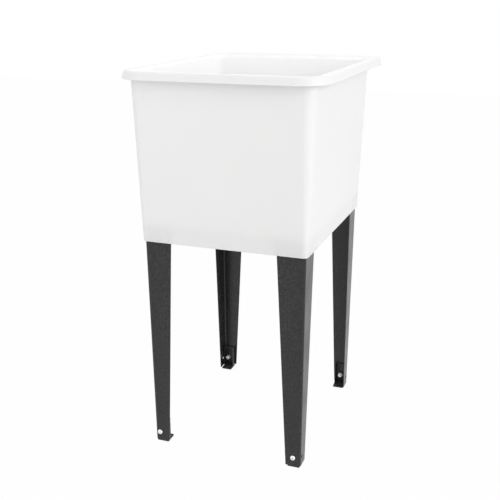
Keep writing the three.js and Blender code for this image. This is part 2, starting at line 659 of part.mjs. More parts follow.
/** The ring with three arms that lies on the cup's floor, its hub in the bore. */
function drainCross() {
  const low = CUP_FLOOR_Z + SEAT_GAP;
  const ring = DRAIN_BORE / 2;
  let cross = toSolid(washerShape(ring, DRAIN_CUP_DIAMETER / 2 - SEAT_GAP, low, CROSS_TOP_Z));
  const hubLow = CROSS_TOP_Z - CROSS_HUB_DEPTH;
  cross = cross.add(toSolid(post(CROSS_HUB_DIAMETER / 2, hubLow, CROSS_TOP_Z, SMALL_SEGMENTS)));
  for (let k = 0; k < CROSS_ARMS; k += 1) {
    const arm = block(
      [0, -CROSS_ARM_WIDTH / 2, low],
      [ring + OVERLAP, CROSS_ARM_WIDTH / 2, CROSS_TOP_Z],
    );
    arm.rotateZ(k * 2 * Math.PI / CROSS_ARMS);
    cross = cross.add(toSolid(arm));
  }
  const radius = GRID_SCREW_DIAMETER / 2 + THREAD_GAP;
  const pilot = toSolid(post(radius, hubLow - OVERLAP, CROSS_TOP_Z + OVERLAP, SMALL_SEGMENTS));
  return toGeometry(cross.subtract(pilot));
}

/** The pierced disc that lies on the cross. */
function strainerGrid() {
  const low = GRID_TOP_Z - GRID_THICKNESS;
  const high = GRID_TOP_Z;
  let grid = toSolid(post(DRAIN_CUP_DIAMETER / 2 - SEAT_GAP, low, high));
  const radius = GRID_SCREW_DIAMETER / 2 + THREAD_GAP;
  grid = grid.subtract(toSolid(post(radius, low - OVERLAP, high + OVERLAP, SMALL_SEGMENTS)));
  const pitch = (DRAIN_BORE + CROSS_HUB_DIAMETER) / 4;
  for (let k = 0; k < GRID_HOLES; k += 1) {
    const angle = (k + 0.5) * 2 * Math.PI / GRID_HOLES;
    const hole = post(GRID_HOLE_DIAMETER / 2, low - OVERLAP, high + OVERLAP, SMALL_SEGMENTS);
    hole.translate(pitch * Math.cos(angle), pitch * Math.sin(angle), 0);
    grid = grid.subtract(toSolid(hole));
  }
  return toGeometry(grid);
}

/** The screw through the grid, head up, its end in the cross's hub. */
function gridScrew() {
  const seat = GRID_TOP_Z + SEAT_GAP;
  const radius = GRID_SCREW_DIAMETER / 2;
  const head = GRID_SCREW_HEAD_DIAMETER / 2;
  return turned([
    [0, seat - GRID_SCREW_LENGTH],
    [radius, seat - GRID_SCREW_LENGTH],
    [radius, seat],
    [head, seat],
    [head, seat + GRID_SCREW_HEAD_HEIGHT / 2],
    [GRID_SCREW_HEAD_FLAT / 2, seat + GRID_SCREW_HEAD_HEIGHT],
    [0, seat + GRID_SCREW_HEAD_HEIGHT],
  ], SMALL_SEGMENTS);
}

/** The lugged ring that clamps the body to the floor from below. */
function lockNut(high) {
  const low = high - LOCKNUT_THICKNESS;
  const bore = DRAIN_TUBE_DIAMETER / 2 + THREAD_GAP;
  const outer = LOCKNUT_DIAMETER / 2;
  const ring = outer - LOCKNUT_LUG_HEIGHT;
  let nut = toSolid(washerShape(bore, ring, low, high));
  for (let k = 0; k < LOCKNUT_LUGS; k += 1) {
    const lug = block(
      [ring - OVERLAP, -LOCKNUT_LUG_WIDTH / 2, low],
      [outer, LOCKNUT_LUG_WIDTH / 2, high],
    );
    lug.rotateZ(k * 2 * Math.PI / LOCKNUT_LUGS);
    nut = nut.add(toSolid(lug));
  }
  return toGeometry(nut);
}

/** The nut that holds the tailpiece's flange up against the body's lower end. */
function couplingNut(low) {
  const bore = DRAIN_TUBE_DIAMETER / 2 + THREAD_GAP;
  const neck = TAILPIECE_DIAMETER / 2 + SEAT_GAP;
  const corner = (bore + COUPLING_WALL) / Math.cos(Math.PI / COUPLING_FLATS);
  const stack = COUPLING_LIP + TAILPIECE_FLANGE_THICKNESS + TAILPIECE_WASHER_THICKNESS + 3 * SEAT_GAP;
  const high = low + stack + COUPLING_GRIP;
  const cutter = toSolid(turned([
    [0, low - OVERLAP],
    [neck, low - OVERLAP],
    [neck, low + COUPLING_LIP],
    [bore, low + COUPLING_LIP],
    [bore, high + OVERLAP],
    [0, high + OVERLAP],
  ]));
  return toGeometry(toSolid(post(corner, low, high, COUPLING_FLATS)).subtract(cutter));
}

function makeDrain() {
  const group = new THREE.Group();
  group.position.set(0, TUB_CENTRE_Y, 0);
  const tube = DRAIN_TUBE_DIAMETER / 2;
  const bore = tube + THREAD_GAP;
  const gasketLow = DRAIN_SEAT_Z + SEAT_GAP;
  const gasket = washerShape(bore, DRAIN_FLANGE_DIAMETER / 2, gasketLow, gasketLow + GASKET_THICKNESS);
  const washerHigh = DRAIN_UNDERSIDE_Z - SEAT_GAP;
  const washerLow = washerHigh - FRICTION_WASHER_THICKNESS;
  const friction = washerShape(bore, LOCKNUT_DIAMETER / 2, washerLow, washerHigh);
  const sealHigh = DRAIN_END_Z - SEAT_GAP;
  const sealLow = sealHigh - TAILPIECE_WASHER_THICKNESS;
  const tailOuter = TAILPIECE_DIAMETER / 2;
  const tailBore = tailOuter - TAILPIECE_WALL;
  const flangeOuter = TAILPIECE_FLANGE_DIAMETER / 2;
  const seal = washerShape(tailBore, flangeOuter, sealLow, sealHigh);
  const flangeHigh = sealLow - SEAT_GAP;
  const flangeLow = flangeHigh - TAILPIECE_FLANGE_THICKNESS;
  const tailpiece = turned([
    [tailBore, flangeHigh],
    [tailBore, flangeHigh - TAILPIECE_LENGTH],
    [tailOuter, flangeHigh - TAILPIECE_LENGTH],
    [tailOuter, flangeLow],
    [flangeOuter, flangeLow],
    [flangeOuter, flangeHigh],
    [tailBore, flangeHigh],
  ]);
  group.add(namedMesh('drain_body', drainBody(), drainPlastic()));
  group.add(namedMesh('drain_cross', drainCross(), drainPlastic()));
  group.add(namedMesh('drain_gasket', gasket, blackRubber()));
  group.add(namedMesh('drain_friction_washer', friction, drainPlastic()));
  group.add(namedMesh('drain_lock_nut', lockNut(washerLow - SEAT_GAP), drainPlastic()));
  group.add(namedMesh('strainer_grid', strainerGrid(), stainless()));
  group.add(namedMesh('strainer_screw', gridScrew(), stainless()));
  group.add(namedMesh('tailpiece_washer', seal, blackRubber()));
  group.add(namedMesh('tailpiece', tailpiece, drainPlastic()));
  group.add(namedMesh('coupling_nut', couplingNut(flangeLow - SEAT_GAP - COUPLING_LIP), drainPlastic()));
  return group;
}

// ---------------------------------------------------------------- stopper

function makeStopper() {
  const group = new THREE.Group();
  group.position.set(0, TUB_CENTRE_Y, 0);
  const plugTop = DRAIN_CUP_DIAMETER / 2 - SEAT_GAP;
  const flange = plugTop + STOPPER_FLANGE_WIDTH;
  const flangeLow = FLANGE_TOP_Z + SEAT_GAP;
  const flangeHigh = flangeLow + STOPPER_FLANGE_THICKNESS;
  const plugLow = flangeLow - STOPPER_PLUG_LENGTH;
  const knob = STOPPER_KNOB_DIAMETER / 2;
  const knobHigh = flangeHigh + STOPPER_KNOB_HEIGHT;
  const body = toSolid(turned([
    [0, plugLow],
    [plugTop - STOPPER_TAPER, plugLow],
    [plugTop, flangeLow],
    [flange, flangeLow],
    [flange, flangeHigh - STOPPER_EDGE],
    [flange - STOPPER_EDGE, flangeHigh],
    [knob + STOPPER_KNOB_FOOT, flangeHigh],
    [knob, flangeHigh + STOPPER_KNOB_FOOT],
    [knob, knobHigh - STOPPER_KNOB_BEVEL],
    [knob - STOPPER_KNOB_BEVEL, knobHigh],
    [0, knobHigh],
  ]));
  const eyeZ = knobHigh - STOPPER_EYE_FROM_TOP;
  const eye = toSolid(crossHole('x', STOPPER_EYE_DIAMETER / 2, 2 * STOPPER_KNOB_DIAMETER, 0, 0, eyeZ));
  group.add(namedMesh('stopper', toGeometry(body.subtract(eye)), blackRubber()));
  const ring = new THREE.TorusGeometry(RING_DIAMETER / 2, RING_WIRE / 2, WIRE_SEGMENTS, ROUND_SEGMENTS);
  const offset = (RING_DIAMETER - STOPPER_EYE_DIAMETER + RING_WIRE) / 2 + SEAT_GAP;
  const drop = eyeZ - flangeHigh - RING_WIRE / 2 - SEAT_GAP;
  const lean = Math.asin(drop / (offset + RING_DIAMETER / 2));
  ring.translate(0, offset, 0);
  ring.rotateX(-lean);
  ring.translate(0, 0, eyeZ);
  group.add(namedMesh('stopper_ring', ring, stainless()));
  return group;
}

// ---------------------------------------------------------------- assembly

const sink = new THREE.Group();
sink.name = 'utility_laundry_sink';
sink.add(makeTub());
for (const corner of CORNERS) {
  sink.add(makeLeg(corner));
  sink.add(makeFoot(corner));
  sink.add(makeFootFasteners(corner));
}
sink.add(makeDrain());
sink.add(makeStopper());

export default sink;
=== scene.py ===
"""Utility laundry sink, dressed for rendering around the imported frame.

Metres, +Z up, the front faces -Y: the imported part's own frame. Every piece is built in place from
the frame's boxes and from the named sizes below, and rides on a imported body.
"""

import logging
import math
from collections.abc import Callable, Sequence
from dataclasses import dataclass, field
from enum import Enum

import bmesh
import bpy
from bpy.types import Material, Mesh, Node, NodeSocket, NodeTree, Object
from mathutils import Matrix, Vector


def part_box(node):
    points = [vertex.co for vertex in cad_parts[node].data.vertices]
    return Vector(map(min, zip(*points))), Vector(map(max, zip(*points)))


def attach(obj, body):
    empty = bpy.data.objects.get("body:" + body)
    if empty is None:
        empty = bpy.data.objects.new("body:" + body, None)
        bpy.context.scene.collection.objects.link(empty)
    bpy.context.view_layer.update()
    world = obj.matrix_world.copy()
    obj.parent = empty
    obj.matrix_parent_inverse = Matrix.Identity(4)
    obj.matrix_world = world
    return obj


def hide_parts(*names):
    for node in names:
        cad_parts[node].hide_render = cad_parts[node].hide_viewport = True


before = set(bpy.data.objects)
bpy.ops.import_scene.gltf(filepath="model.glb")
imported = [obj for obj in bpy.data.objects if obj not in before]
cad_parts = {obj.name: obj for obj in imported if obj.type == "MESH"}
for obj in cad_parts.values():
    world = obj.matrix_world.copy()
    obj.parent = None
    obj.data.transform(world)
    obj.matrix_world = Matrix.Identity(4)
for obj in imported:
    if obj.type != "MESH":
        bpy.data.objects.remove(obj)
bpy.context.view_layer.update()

MM = 0.001
FULL_TURN = 2 * math.pi
HALF_TURN = math.pi
QUARTER_TURN = math.pi / 2
SMOOTH_ANGLE = math.radians(34)
FLAT_ANGLE = math.radians(0.12)
WELD_DISTANCE = 0.002 * MM
ON_AXIS = 1e-9
OVERRUN = 1 * MM  # how far a cutter runs past what it cuts
THREAD_STEPS = 28
THREAD_SIDES = 6

Sockets = dict[str, NodeSocket]
Colour = tuple[float, float, float, float]
Pairs = Sequence[tuple[float, float]]
Ring = list[Vector]

log = logging.getLogger("laundry_sink")


class Body(Enum):
    """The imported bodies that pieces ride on, apart from the feet's own."""

    FRAME = "frame"
    STOPPER = "stopper_body"


class Slot(Enum):
    """The record's material slots."""

    TUB = "tub_plastic"
    LEG = "leg_paint"
    FOOT = "foot_paint"
    ZINC = "zinc"
    DRAIN_PLASTIC = "drain_plastic"
    DRAIN_RUBBER = "drain_rubber"
    STOPPER = "stopper_rubber"
    STAINLESS = "stainless"


class Corner(Enum):
    """The four legs' corners: which side of X and of Y each stands on."""

    FRONT_LEFT = ("front_left", -1, -1)
    FRONT_RIGHT = ("front_right", 1, -1)
    BACK_LEFT = ("back_left", -1, 1)
    BACK_RIGHT = ("back_right", 1, 1)

    @property
    def tag(self) -> str:
        """The corner's part of a node's name."""
        return self.value[0]

    @property
    def side(self) -> int:
        """1 on the right, -1 on the left."""
        return self.value[1]

    @property
    def end(self) -> int:
        """1 at the back, -1 at the front."""
        return self.value[2]


@dataclass(frozen=True)
class Span:
    """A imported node's box, with its middle, its size and its upright edges."""

    low: Vector
    high: Vector

    @classmethod
    def of(cls, node: str) -> "Span":
        """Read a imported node's box at rest from the frame."""
        low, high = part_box(node)
        return cls(Vector(low), Vector(high))

    @property
    def middle(self) -> Vector:
        """The box's centre."""
        return (self.low + self.high) / 2

    @property
    def size(self) -> Vector:
        """The box's edge lengths."""
        return self.high - self.low

    def edge(self, corner: Corner) -> tuple[float, float]:
        """Find the box's upright edge on one corner's side.

        Args:
            corner: Which corner of the sink.

        Returns:
            The edge's X and Y.
        """
        x = self.high.x if corner.side > 0 else self.low.x
        y = self.high.y if corner.end > 0 else self.low.y
        return x, y


# ---------------------------------------------------------------------------- shader groups


class Graph:
    """A node tree that is being wired, with short calls for adding and linking."""

    def __init__(self, tree: NodeTree) -> None:
        """Keep the shader or geometry tree that is filled."""
        self.tree = tree

    def add(self, kind: str, **settings: object) -> Node:
        """Add a node and set its properties.

        Args:
            kind: The node's type name.
            **settings: Properties of the node.

        Returns:
            The new node.
        """
        node = self.tree.nodes.new(kind)
        for name, value in settings.items():
            setattr(node, name, value)
        return node

    def feed(self, socket: NodeSocket, value: object) -> None:
        """Link an output to a socket, or set the socket's own value.

        Args:
            socket: The input socket.
            value: An output socket, or a plain value.
        """
        if isinstance(value, NodeSocket):
            self.tree.links.new(value, socket)
        else:
            socket.default_value = value

    def fill(self, node: Node, **values: object) -> Node:
        """Feed a node's inputs by name.

        Args:
            node: The node.
            **values: Outputs or plain values by input name, with underscores for spaces.

        Returns:
            The same node.
        """
        for name, value in values.items():
            self.feed(node.inputs[name.replace("_", " ")], value)
        return node

    def maths(self, operation: str, *values: object, clamp: bool = False) -> NodeSocket:
        """Add a Math node.

        Args:
            operation: The Math node's operation.
            *values: Its inputs, as outputs or numbers.
            clamp: Whether the result is kept within 0 and 1.

        Returns:
            The result's socket.
        """
        node = self.add("ShaderNodeMath", operation=operation, use_clamp=clamp)
        for socket, value in zip(node.inputs, values):
            self.feed(socket, value)
        return node.outputs[0]

    def remap(self, value: object, low: float, high: float, to_low: object = 0.0,
              to_high: object = 1.0) -> NodeSocket:
        """Add a clamped Map Range node.

        Args:
            value: What is mapped.
            low: The value that gives to_low.
            high: The value that gives to_high.
            to_low: The result at low.
            to_high: The result at high.

        Returns:
            The result's socket.
        """
        node = self.add("ShaderNodeMapRange")
        for socket, number in zip(node.inputs, (value, low, high, to_low, to_high)):
            self.feed(socket, number)
        return node.outputs[0]

    def noise(self, vector: object, scale: object, detail: float = 2.0,
              roughness: float = 0.5) -> NodeSocket:
        """Add a 3-D noise texture.

        Args:
            vector: The coordinates.
            scale: The noise's scale, in features a metre.
            detail: How many octaves are added.
            roughness: How strong each finer octave is.

        Returns:
            The noise's value, about 0.5 on average.
        """
        node = self.fill(self.add("ShaderNodeTexNoise"), Vector=vector, Scale=scale,
                         Detail=detail, Roughness=roughness)
        return node.outputs["Fac"]

    def blend(self, mask: object, first: object, second: object,
              kind: str = "MIX") -> NodeSocket:
        """Mix two colours.

        Args:
            mask: 0 gives the first colour, 1 the second.
            first: A colour.
            second: A colour.
            kind: The blend type.

        Returns:
            The mixed colour's socket.
        """
        node = self.add("ShaderNodeMix", data_type="RGBA", blend_type=kind)
        for index, value in ((0, mask), (6, first), (7, second)):
            self.feed(node.inputs[index], value)
        return node.outputs[2]

    def split(self, vector: object) -> Sockets:
        """The X, Y and Z of a vector."""
        node = self.fill(self.add("ShaderNodeSeparateXYZ"), Vector=vector)
        return {axis: node.outputs[axis] for axis in "XYZ"}

    def vector(self, x: object = 0.0, y: object = 0.0, z: object = 0.0) -> NodeSocket:
        """A vector from three outputs or numbers."""
        return self.fill(self.add("ShaderNodeCombineXYZ"), X=x, Y=y, Z=z).outputs[0]

    def normal(self) -> NodeSocket:
        """The surface's normal."""
        return self.add("ShaderNodeNewGeometry").outputs["Normal"]

    def shown(self) -> NodeSocket:
        """Tell what the camera sees, straight, in gloss or through glass, from other light.

        Returns:
            1 on such rays and 0 on all others.
        """
        rays = self.add("ShaderNodeLightPath").outputs
        seen = self.maths("MAXIMUM", rays["Is Camera Ray"], rays["Is Glossy Ray"])
        return self.maths("MAXIMUM", seen, rays["Is Transmission Ray"])


@dataclass
class EffectGroup:
    """A shader node group on a Vector and named numbers, built once for several finishes."""

    name: str
    numbers: dict[str, float]
    results: tuple[str, ...]
    wire: Callable[[Graph, Sockets], Sockets]
    tree: NodeTree | None = field(default=None, init=False)

    def build(self) -> NodeTree:
        """Make the group on its first use.

        Returns:
            The node group.
        """
        if self.tree is not None:
            return self.tree
        tree = bpy.data.node_groups.new(self.name, "ShaderNodeTree")
        tree.interface.new_socket("Vector", in_out="INPUT", socket_type="NodeSocketVector")
        for name, value in self.numbers.items():
            socket = tree.interface.new_socket(name, in_out="INPUT", socket_type="NodeSocketFloat")
            socket.default_value = value
        for name in self.results:
            tree.interface.new_socket(name, in_out="OUTPUT", socket_type="NodeSocketFloat")
        graph = Graph(tree)
        entry = graph.add("NodeGroupInput")
        leave = graph.add("NodeGroupOutput")
        inputs = {name: entry.outputs[name] for name in ("Vector", *self.numbers)}
        for name, socket in self.wire(graph, inputs).items():
            tree.links.new(socket, leave.inputs[name])
        self.tree = tree
        return tree

    def use(self, graph: Graph, **values: object) -> Sockets:
        """Place the group in a material, feed its inputs by name, and give its outputs by name."""
        node = graph.fill(graph.add("ShaderNodeGroup", node_tree=self.build()), **values)
        return {name: node.outputs[name] for name in self.results}


def wire_grain(graph: Graph, inputs: Sockets) -> Sockets:
    """Wire the moulded or sprayed surface's fine relief.

    Args:
        graph: The group's graph.
        inputs: Vector, Scale and Coarse Scale.

    Returns:
        Height, the relief from 0 to 1, and Tone, a slow variation from 0 to 1.
    """
    fine = graph.noise(inputs["Vector"], inputs["Scale"], detail=3.0, roughness=0.55)
    coarse = graph.noise(inputs["Vector"], inputs["Coarse Scale"])
    fine_part = graph.maths("MULTIPLY", fine, 0.7)
    coarse_part = graph.maths("MULTIPLY", coarse, 0.3)
    height = graph.maths("ADD", fine_part, coarse_part)
    return {"Height": height, "Tone": graph.remap(coarse, 0.3, 0.7)}


def masked(graph: Graph, where: NodeSocket, patches: NodeSocket, amount: NodeSocket) -> Sockets:
    """Wire a mask from 0 to an amount, where an effect lies in patches."""
    broken = graph.maths("MULTIPLY", where, patches)
    return {"Mask": graph.maths("MULTIPLY", broken, amount, clamp=True)}


def wire_dust(graph: Graph, inputs: Sockets) -> Sockets:
    """Wire a thin, patchy film on faces that look up.

    Args:
        graph: The group's graph.
        inputs: Vector, Scale and Amount.

    Returns:
        Mask, from 0 to Amount.
    """
    upward = graph.remap(graph.split(graph.normal())["Z"], 0.2, 0.95)
    specks = graph.noise(inputs["Vector"], inputs["Scale"], detail=4.0, roughness=0.6)
    patches = graph.remap(specks, 0.38, 0.68, to_low=0.15)
    return masked(graph, upward, patches, inputs["Amount"])


def wire_wear(graph: Graph, inputs: Sockets) -> Sockets:
    """Wire rubbed edges: convex places, broken up by noise.

    Args:
        graph: The group's graph.
        inputs: Vector, Scale and Amount.

    Returns:
        Mask, from 0 to Amount.
    """
    pointed = graph.add("ShaderNodeNewGeometry").outputs["Pointiness"]
    rubs = graph.noise(inputs["Vector"], inputs["Scale"], detail=5.0, roughness=0.65)
    patches = graph.remap(rubs, 0.42, 0.62)
    return masked(graph, graph.remap(pointed, 0.52, 0.6), patches, inputs["Amount"])


def wire_scratches(graph: Graph, inputs: Sockets) -> Sockets:
    """Wire fine straight strokes, as brushing and light scratches leave.

    Args:
        graph: The group's graph.
        inputs: Vector, Scale and Stretch, how much longer than wide the strokes are.

    Returns:
        Strokes, from 0 to 1.
    """
    stretch = graph.vector(1.0, 1.0, graph.maths("DIVIDE", 1.0, inputs["Stretch"]))
    drawn = graph.add("ShaderNodeVectorMath", operation="MULTIPLY")
    graph.feed(drawn.inputs[0], inputs["Vector"])
    graph.feed(drawn.inputs[1], stretch)
    strokes = graph.noise(drawn.outputs[0], inputs["Scale"], detail=4.0, roughness=0.7)
    return {"Strokes": graph.remap(strokes, 0.35, 0.65)}


GRAIN = EffectGroup("surface_grain", {"Scale": 600.0, "Coarse Scale": 9.0}, ("Height", "Tone"),
                    wire_grain)
DUST = EffectGroup("settled_dust", {"Scale": 30.0, "Amount": 0.2}, ("Mask",), wire_dust)
WEAR = EffectGroup("edge_wear", {"Scale": 180.0, "Amount": 0.3}, ("Mask",), wire_wear)
SCRATCHES = EffectGroup("fine_strokes", {"Scale": 900.0, "Stretch": 12.0}, ("Strokes",),
                        wire_scratches)


# ---------------------------------------------------------------------------- finishes


def grey(value: float) -> Colour:
    """A neutral colour of one brightness."""
    return (value, value, value, 1.0)


def scaled(colour: Colour, factor: float) -> Colour:
    """A colour made lighter or darker by a factor."""
    return tuple(factor * value for value in colour[:3]) + (1.0,)


@dataclass(frozen=True)
class Finish:
    """What all finishes share: a colour, a gloss, a grain, a relief and a film of dust."""

    name: str
    colour: Colour
    roughness: float
    grain_scale: float = 800.0
    coarse_scale: float = 60.0
    gloss_below: float = 0.06
    gloss_above: float = 0.08
    relief_strength: float = 0.5
    relief_height: float = 0.06 * MM
    dust_scale: float = 60.0
    dust_amount: float = 0.2
    dust_colour: Colour = grey(0.22)

    def start(self) -> tuple[Material, Graph, Node, NodeSocket, Sockets]:
        """Make an empty material with its shader and its grain.

        Returns:
            The material, its graph, its Principled BSDF, its Object coordinates and its grain.
        """
        material = bpy.data.materials.new(self.name)
        material.use_nodes = True
        material.diffuse_color = self.colour
        nodes = material.node_tree.nodes
        shader = next(node for node in nodes if node.type == "BSDF_PRINCIPLED")
        graph = Graph(material.node_tree)
        place = graph.add("ShaderNodeTexCoord").outputs["Object"]
        grain = GRAIN.use(graph, Vector=place, Scale=self.grain_scale,
                          Coarse_Scale=self.coarse_scale)
        return material, graph, shader, place, grain

    def dust(self, graph: Graph, place: NodeSocket) -> NodeSocket:
        """The mask of this finish's dust."""
        return DUST.use(graph, Vector=place, Scale=self.dust_scale, Amount=self.dust_amount)["Mask"]

    def gloss(self, graph: Graph, tone: NodeSocket) -> NodeSocket:
        """The roughness, a little lower and higher as the tone goes from 0 to 1."""
        return graph.remap(tone, 0.0, 1.0, self.roughness - self.gloss_below,
                           self.roughness + self.gloss_above)

    def relief(self, graph: Graph, height: NodeSocket) -> NodeSocket:
        """Bump the surface's normal.

        Args:
            graph: The material's graph.
            height: The relief, from 0 to 1.

        Returns:
            The normal's socket.
        """
        bump = graph.fill(graph.add("ShaderNodeBump"), Strength=self.relief_strength,
                          Distance=self.relief_height, Height=height)
        return bump.outputs["Normal"]


@dataclass(frozen=True)
class PaintedTubShade:
    """Painted shade on the tub's skin: bright inside, darker outside, darker still on the rim's
    skirt and under the floor.
    """

    centre_y: float
    floor_level: float
    rim_level: float
    # Painted shade: how much darker the colour is made outside, on the rim's skirt and in the band
    # under the floor, standing in for light that falls less there.
    painted_outer_shade: float = 0.842
    painted_rim_shade: float = 0.95
    painted_floor_band_shade: float = 0.965
    outward_low: float = 0.02
    outward_high: float = 0.16
    fade_low: float = 6 * MM
    fade_high: float = 10 * MM
    waver_height: float = 4 * MM
    waver_scale: float = 12.0

    def shaded(self, graph: Graph, place: NodeSocket, colour: NodeSocket) -> NodeSocket:
        """Paint shade into a colour on faces that look away from the tub's axis, on the rim's
        skirt, and below its floor.

        Args:
            graph: The material's graph.
            place: The Object coordinates.
            colour: The plain skin's colour.

        Returns:
            The colour's socket, with the painted shade.
        """
        spot = graph.split(place)
        facing = graph.split(graph.normal())
        along = graph.maths("SUBTRACT", spot["Y"], self.centre_y)
        outward = graph.maths(
            "ADD",
            graph.maths("MULTIPLY", spot["X"], facing["X"]),
            graph.maths("MULTIPLY", along, facing["Y"]),
        )
        rim = graph.remap(spot["Z"], self.rim_level - MM, self.rim_level, 1.0, self.painted_rim_shade)
        darkest = graph.maths("MULTIPLY", rim, self.painted_outer_shade)
        outer = graph.remap(outward, self.outward_low, self.outward_high, 1.0, darkest)
        waver = graph.maths("MULTIPLY", graph.noise(place, self.waver_scale), self.waver_height)
        level = graph.maths("ADD", spot["Z"], waver)
        # Painted shade below the floor, where less light comes through the wall.
        floor_band_shade = graph.remap(level, self.floor_level - self.fade_low,
                              self.floor_level + self.fade_high, self.painted_floor_band_shade, 1.0)
        shade = graph.maths("MULTIPLY", outer, floor_band_shade)
        value = graph.fill(graph.add("ShaderNodeCombineColor"), Red=shade, Green=shade, Blue=shade)
        return graph.blend(1.0, colour, value.outputs[0], "MULTIPLY")


@dataclass(frozen=True)
class MouldedPlastic(Finish):
    """Moulded polypropylene: satin, faintly mottled, with some light scattered in its wall."""

    grain_scale: float = 520.0
    coarse_scale: float = 7.0
    gloss_below: float = 0.04
    gloss_above: float = 0.05
    relief_strength: float = 0.35
    dust_scale: float = 24.0
    dust_amount: float = 0.012
    dust_colour: Colour = (0.62, 0.6, 0.56, 1.0)
    mottle: float = 0.99
    translucency: float = 0.4
    scatter_colour: tuple[float, float, float] = (1.0, 0.97, 0.92)
    scatter_depth: float = 5 * MM
    plastic_index: float = 1.49
    # Painted shade on the outside, the rim's skirt and the band under the floor, or None.
    skin: PaintedTubShade | None = None

    def build(self) -> Material:
        """Make the plastic's material.

        Returns:
            The material.
        """
        material, graph, shader, place, grain = self.start()
        dust = self.dust(graph, place)
        colour = graph.blend(grain["Tone"], scaled(self.colour, self.mottle), self.colour)
        # Painted shade: darken the colour outside, on the rim's skirt and under the floor.
        if self.skin is not None:
            colour = self.skin.shaded(graph, place, colour)
        graph.fill(
            shader,
            Base_Color=graph.blend(dust, colour, self.dust_colour),
            Roughness=graph.maths("ADD", self.gloss(graph, grain["Tone"]), dust),
            Normal=self.relief(graph, grain["Height"]),
            Subsurface_Weight=self.translucency,
            Subsurface_Radius=self.scatter_colour,
            Subsurface_Scale=self.scatter_depth,
            IOR=self.plastic_index,
        )
        return material


@dataclass(frozen=True)
class SheetPaint(Finish):
    """Satin black paint on sheet steel: a soft orange peel, a little dust, rubbed grey edges."""

    grain_scale: float = 1100.0
    coarse_scale: float = 16.0
    gloss_below: float = 0.05
    gloss_above: float = 0.06
    relief_strength: float = 0.22
    relief_height: float = 0.05 * MM
    dust_amount: float = 0.22
    dust_colour: Colour = (0.2, 0.195, 0.185, 1.0)
    mottle: float = 1.5
    bare_colour: Colour = (0.16, 0.16, 0.165, 1.0)
    bare_metal: float = 0.6
    wear_scale: float = 240.0
    wear_amount: float = 0.35
    binder_index: float = 1.45

    def build(self) -> Material:
        """Make the paint's material.

        Returns:
            The material.
        """
        material, graph, shader, place, grain = self.start()
        wear = WEAR.use(graph, Vector=place, Scale=self.wear_scale, Amount=self.wear_amount)["Mask"]
        dust = self.dust(graph, place)
        colour = graph.blend(grain["Tone"], self.colour, scaled(self.colour, self.mottle))
        colour = graph.blend(wear, colour, self.bare_colour)
        graph.fill(
            shader,
            Base_Color=graph.blend(dust, colour, self.dust_colour),
            Roughness=graph.maths("ADD", self.gloss(graph, grain["Tone"]), dust),
            Metallic=graph.maths("MULTIPLY", wear, self.bare_metal),
            Normal=self.relief(graph, grain["Height"]),
            IOR=self.binder_index,
        )
        return material


@dataclass(frozen=True)
class PlatedMetal(Finish):
    """Bright metal with fine strokes: zinc plate or stainless steel."""

    coarse_scale: float = 140.0
    gloss_above: float = 0.1
    relief_strength: float = 0.25
    relief_height: float = 0.02 * MM
    stroke_scale: float = 1500.0
    stroke_stretch: float = 6.0
    stain: Colour = (0.42, 0.42, 0.43, 1.0)
    stain_start: float = 0.55
    stain_share: float = 0.4

    def build(self) -> Material:
        """Make the metal's material.

        Returns:
            The material.
        """
        material, graph, shader, place, grain = self.start()
        strokes = SCRATCHES.use(graph, Vector=place, Scale=self.stroke_scale,
                                Stretch=self.stroke_stretch)["Strokes"]
        stained = graph.remap(grain["Tone"], self.stain_start, 1.0, 0.0, self.stain_share)
        graph.fill(
            shader,
            Base_Color=graph.blend(stained, self.colour, self.stain),
            Roughness=self.gloss(graph, strokes),
            Metallic=1.0,
            Normal=self.relief(graph, strokes),
        )
        return material


@dataclass(frozen=True)
class DarkRubber(Finish):
    """Black rubber: matt, with a bloom of grey dust on top."""

    grain_scale: float = 1500.0
    dust_scale: float = 90.0
    dust_amount: float = 0.18
    mottle: float = 1.7

    def build(self) -> Material:
        """Make the rubber's material.

        Returns:
            The material.
        """
        material, graph, shader, place, grain = self.start()
        colour = graph.blend(grain["Tone"], self.colour, scaled(self.colour, self.mottle))
        graph.fill(
            shader,
            Base_Color=graph.blend(self.dust(graph, place), colour, self.dust_colour),
            Roughness=self.gloss(graph, grain["Tone"]),
            Normal=self.relief(graph, grain["Height"]),
        )
        return material


@dataclass(frozen=True)
class PaleStage:
    """The pale floor: white to the camera, yet it keeps a soft part of the object's shadow."""

    name: str
    colour: Colour
    shadow_share: float = 0.025
    mottle: float = 0.985
    patch_scale: float = 1.5

    def build(self) -> Material:
        """Make the floor's material.

        Returns:
            The material.
        """
        material = bpy.data.materials.new(self.name)
        material.use_nodes = True
        tree = material.node_tree
        tree.nodes.clear()
        graph = Graph(tree)
        output = graph.add("ShaderNodeOutputMaterial")
        place = graph.add("ShaderNodeTexCoord").outputs["Object"]
        tone = graph.remap(graph.noise(place, self.patch_scale, detail=3.0), 0.3, 0.7)
        colour = graph.blend(tone, scaled(self.colour, self.mottle), self.colour)
        matt = graph.fill(graph.add("ShaderNodeBsdfDiffuse"), Color=colour)
        white = graph.add("ShaderNodeEmission")
        mix = graph.add("ShaderNodeMixShader")
        graph.feed(mix.inputs[0], graph.maths("MULTIPLY", graph.shown(), 1.0 - self.shadow_share))
        graph.feed(mix.inputs[1], matt.outputs[0])
        graph.feed(mix.inputs[2], white.outputs[0])
        graph.fill(output, Surface=mix.outputs[0])
        return material


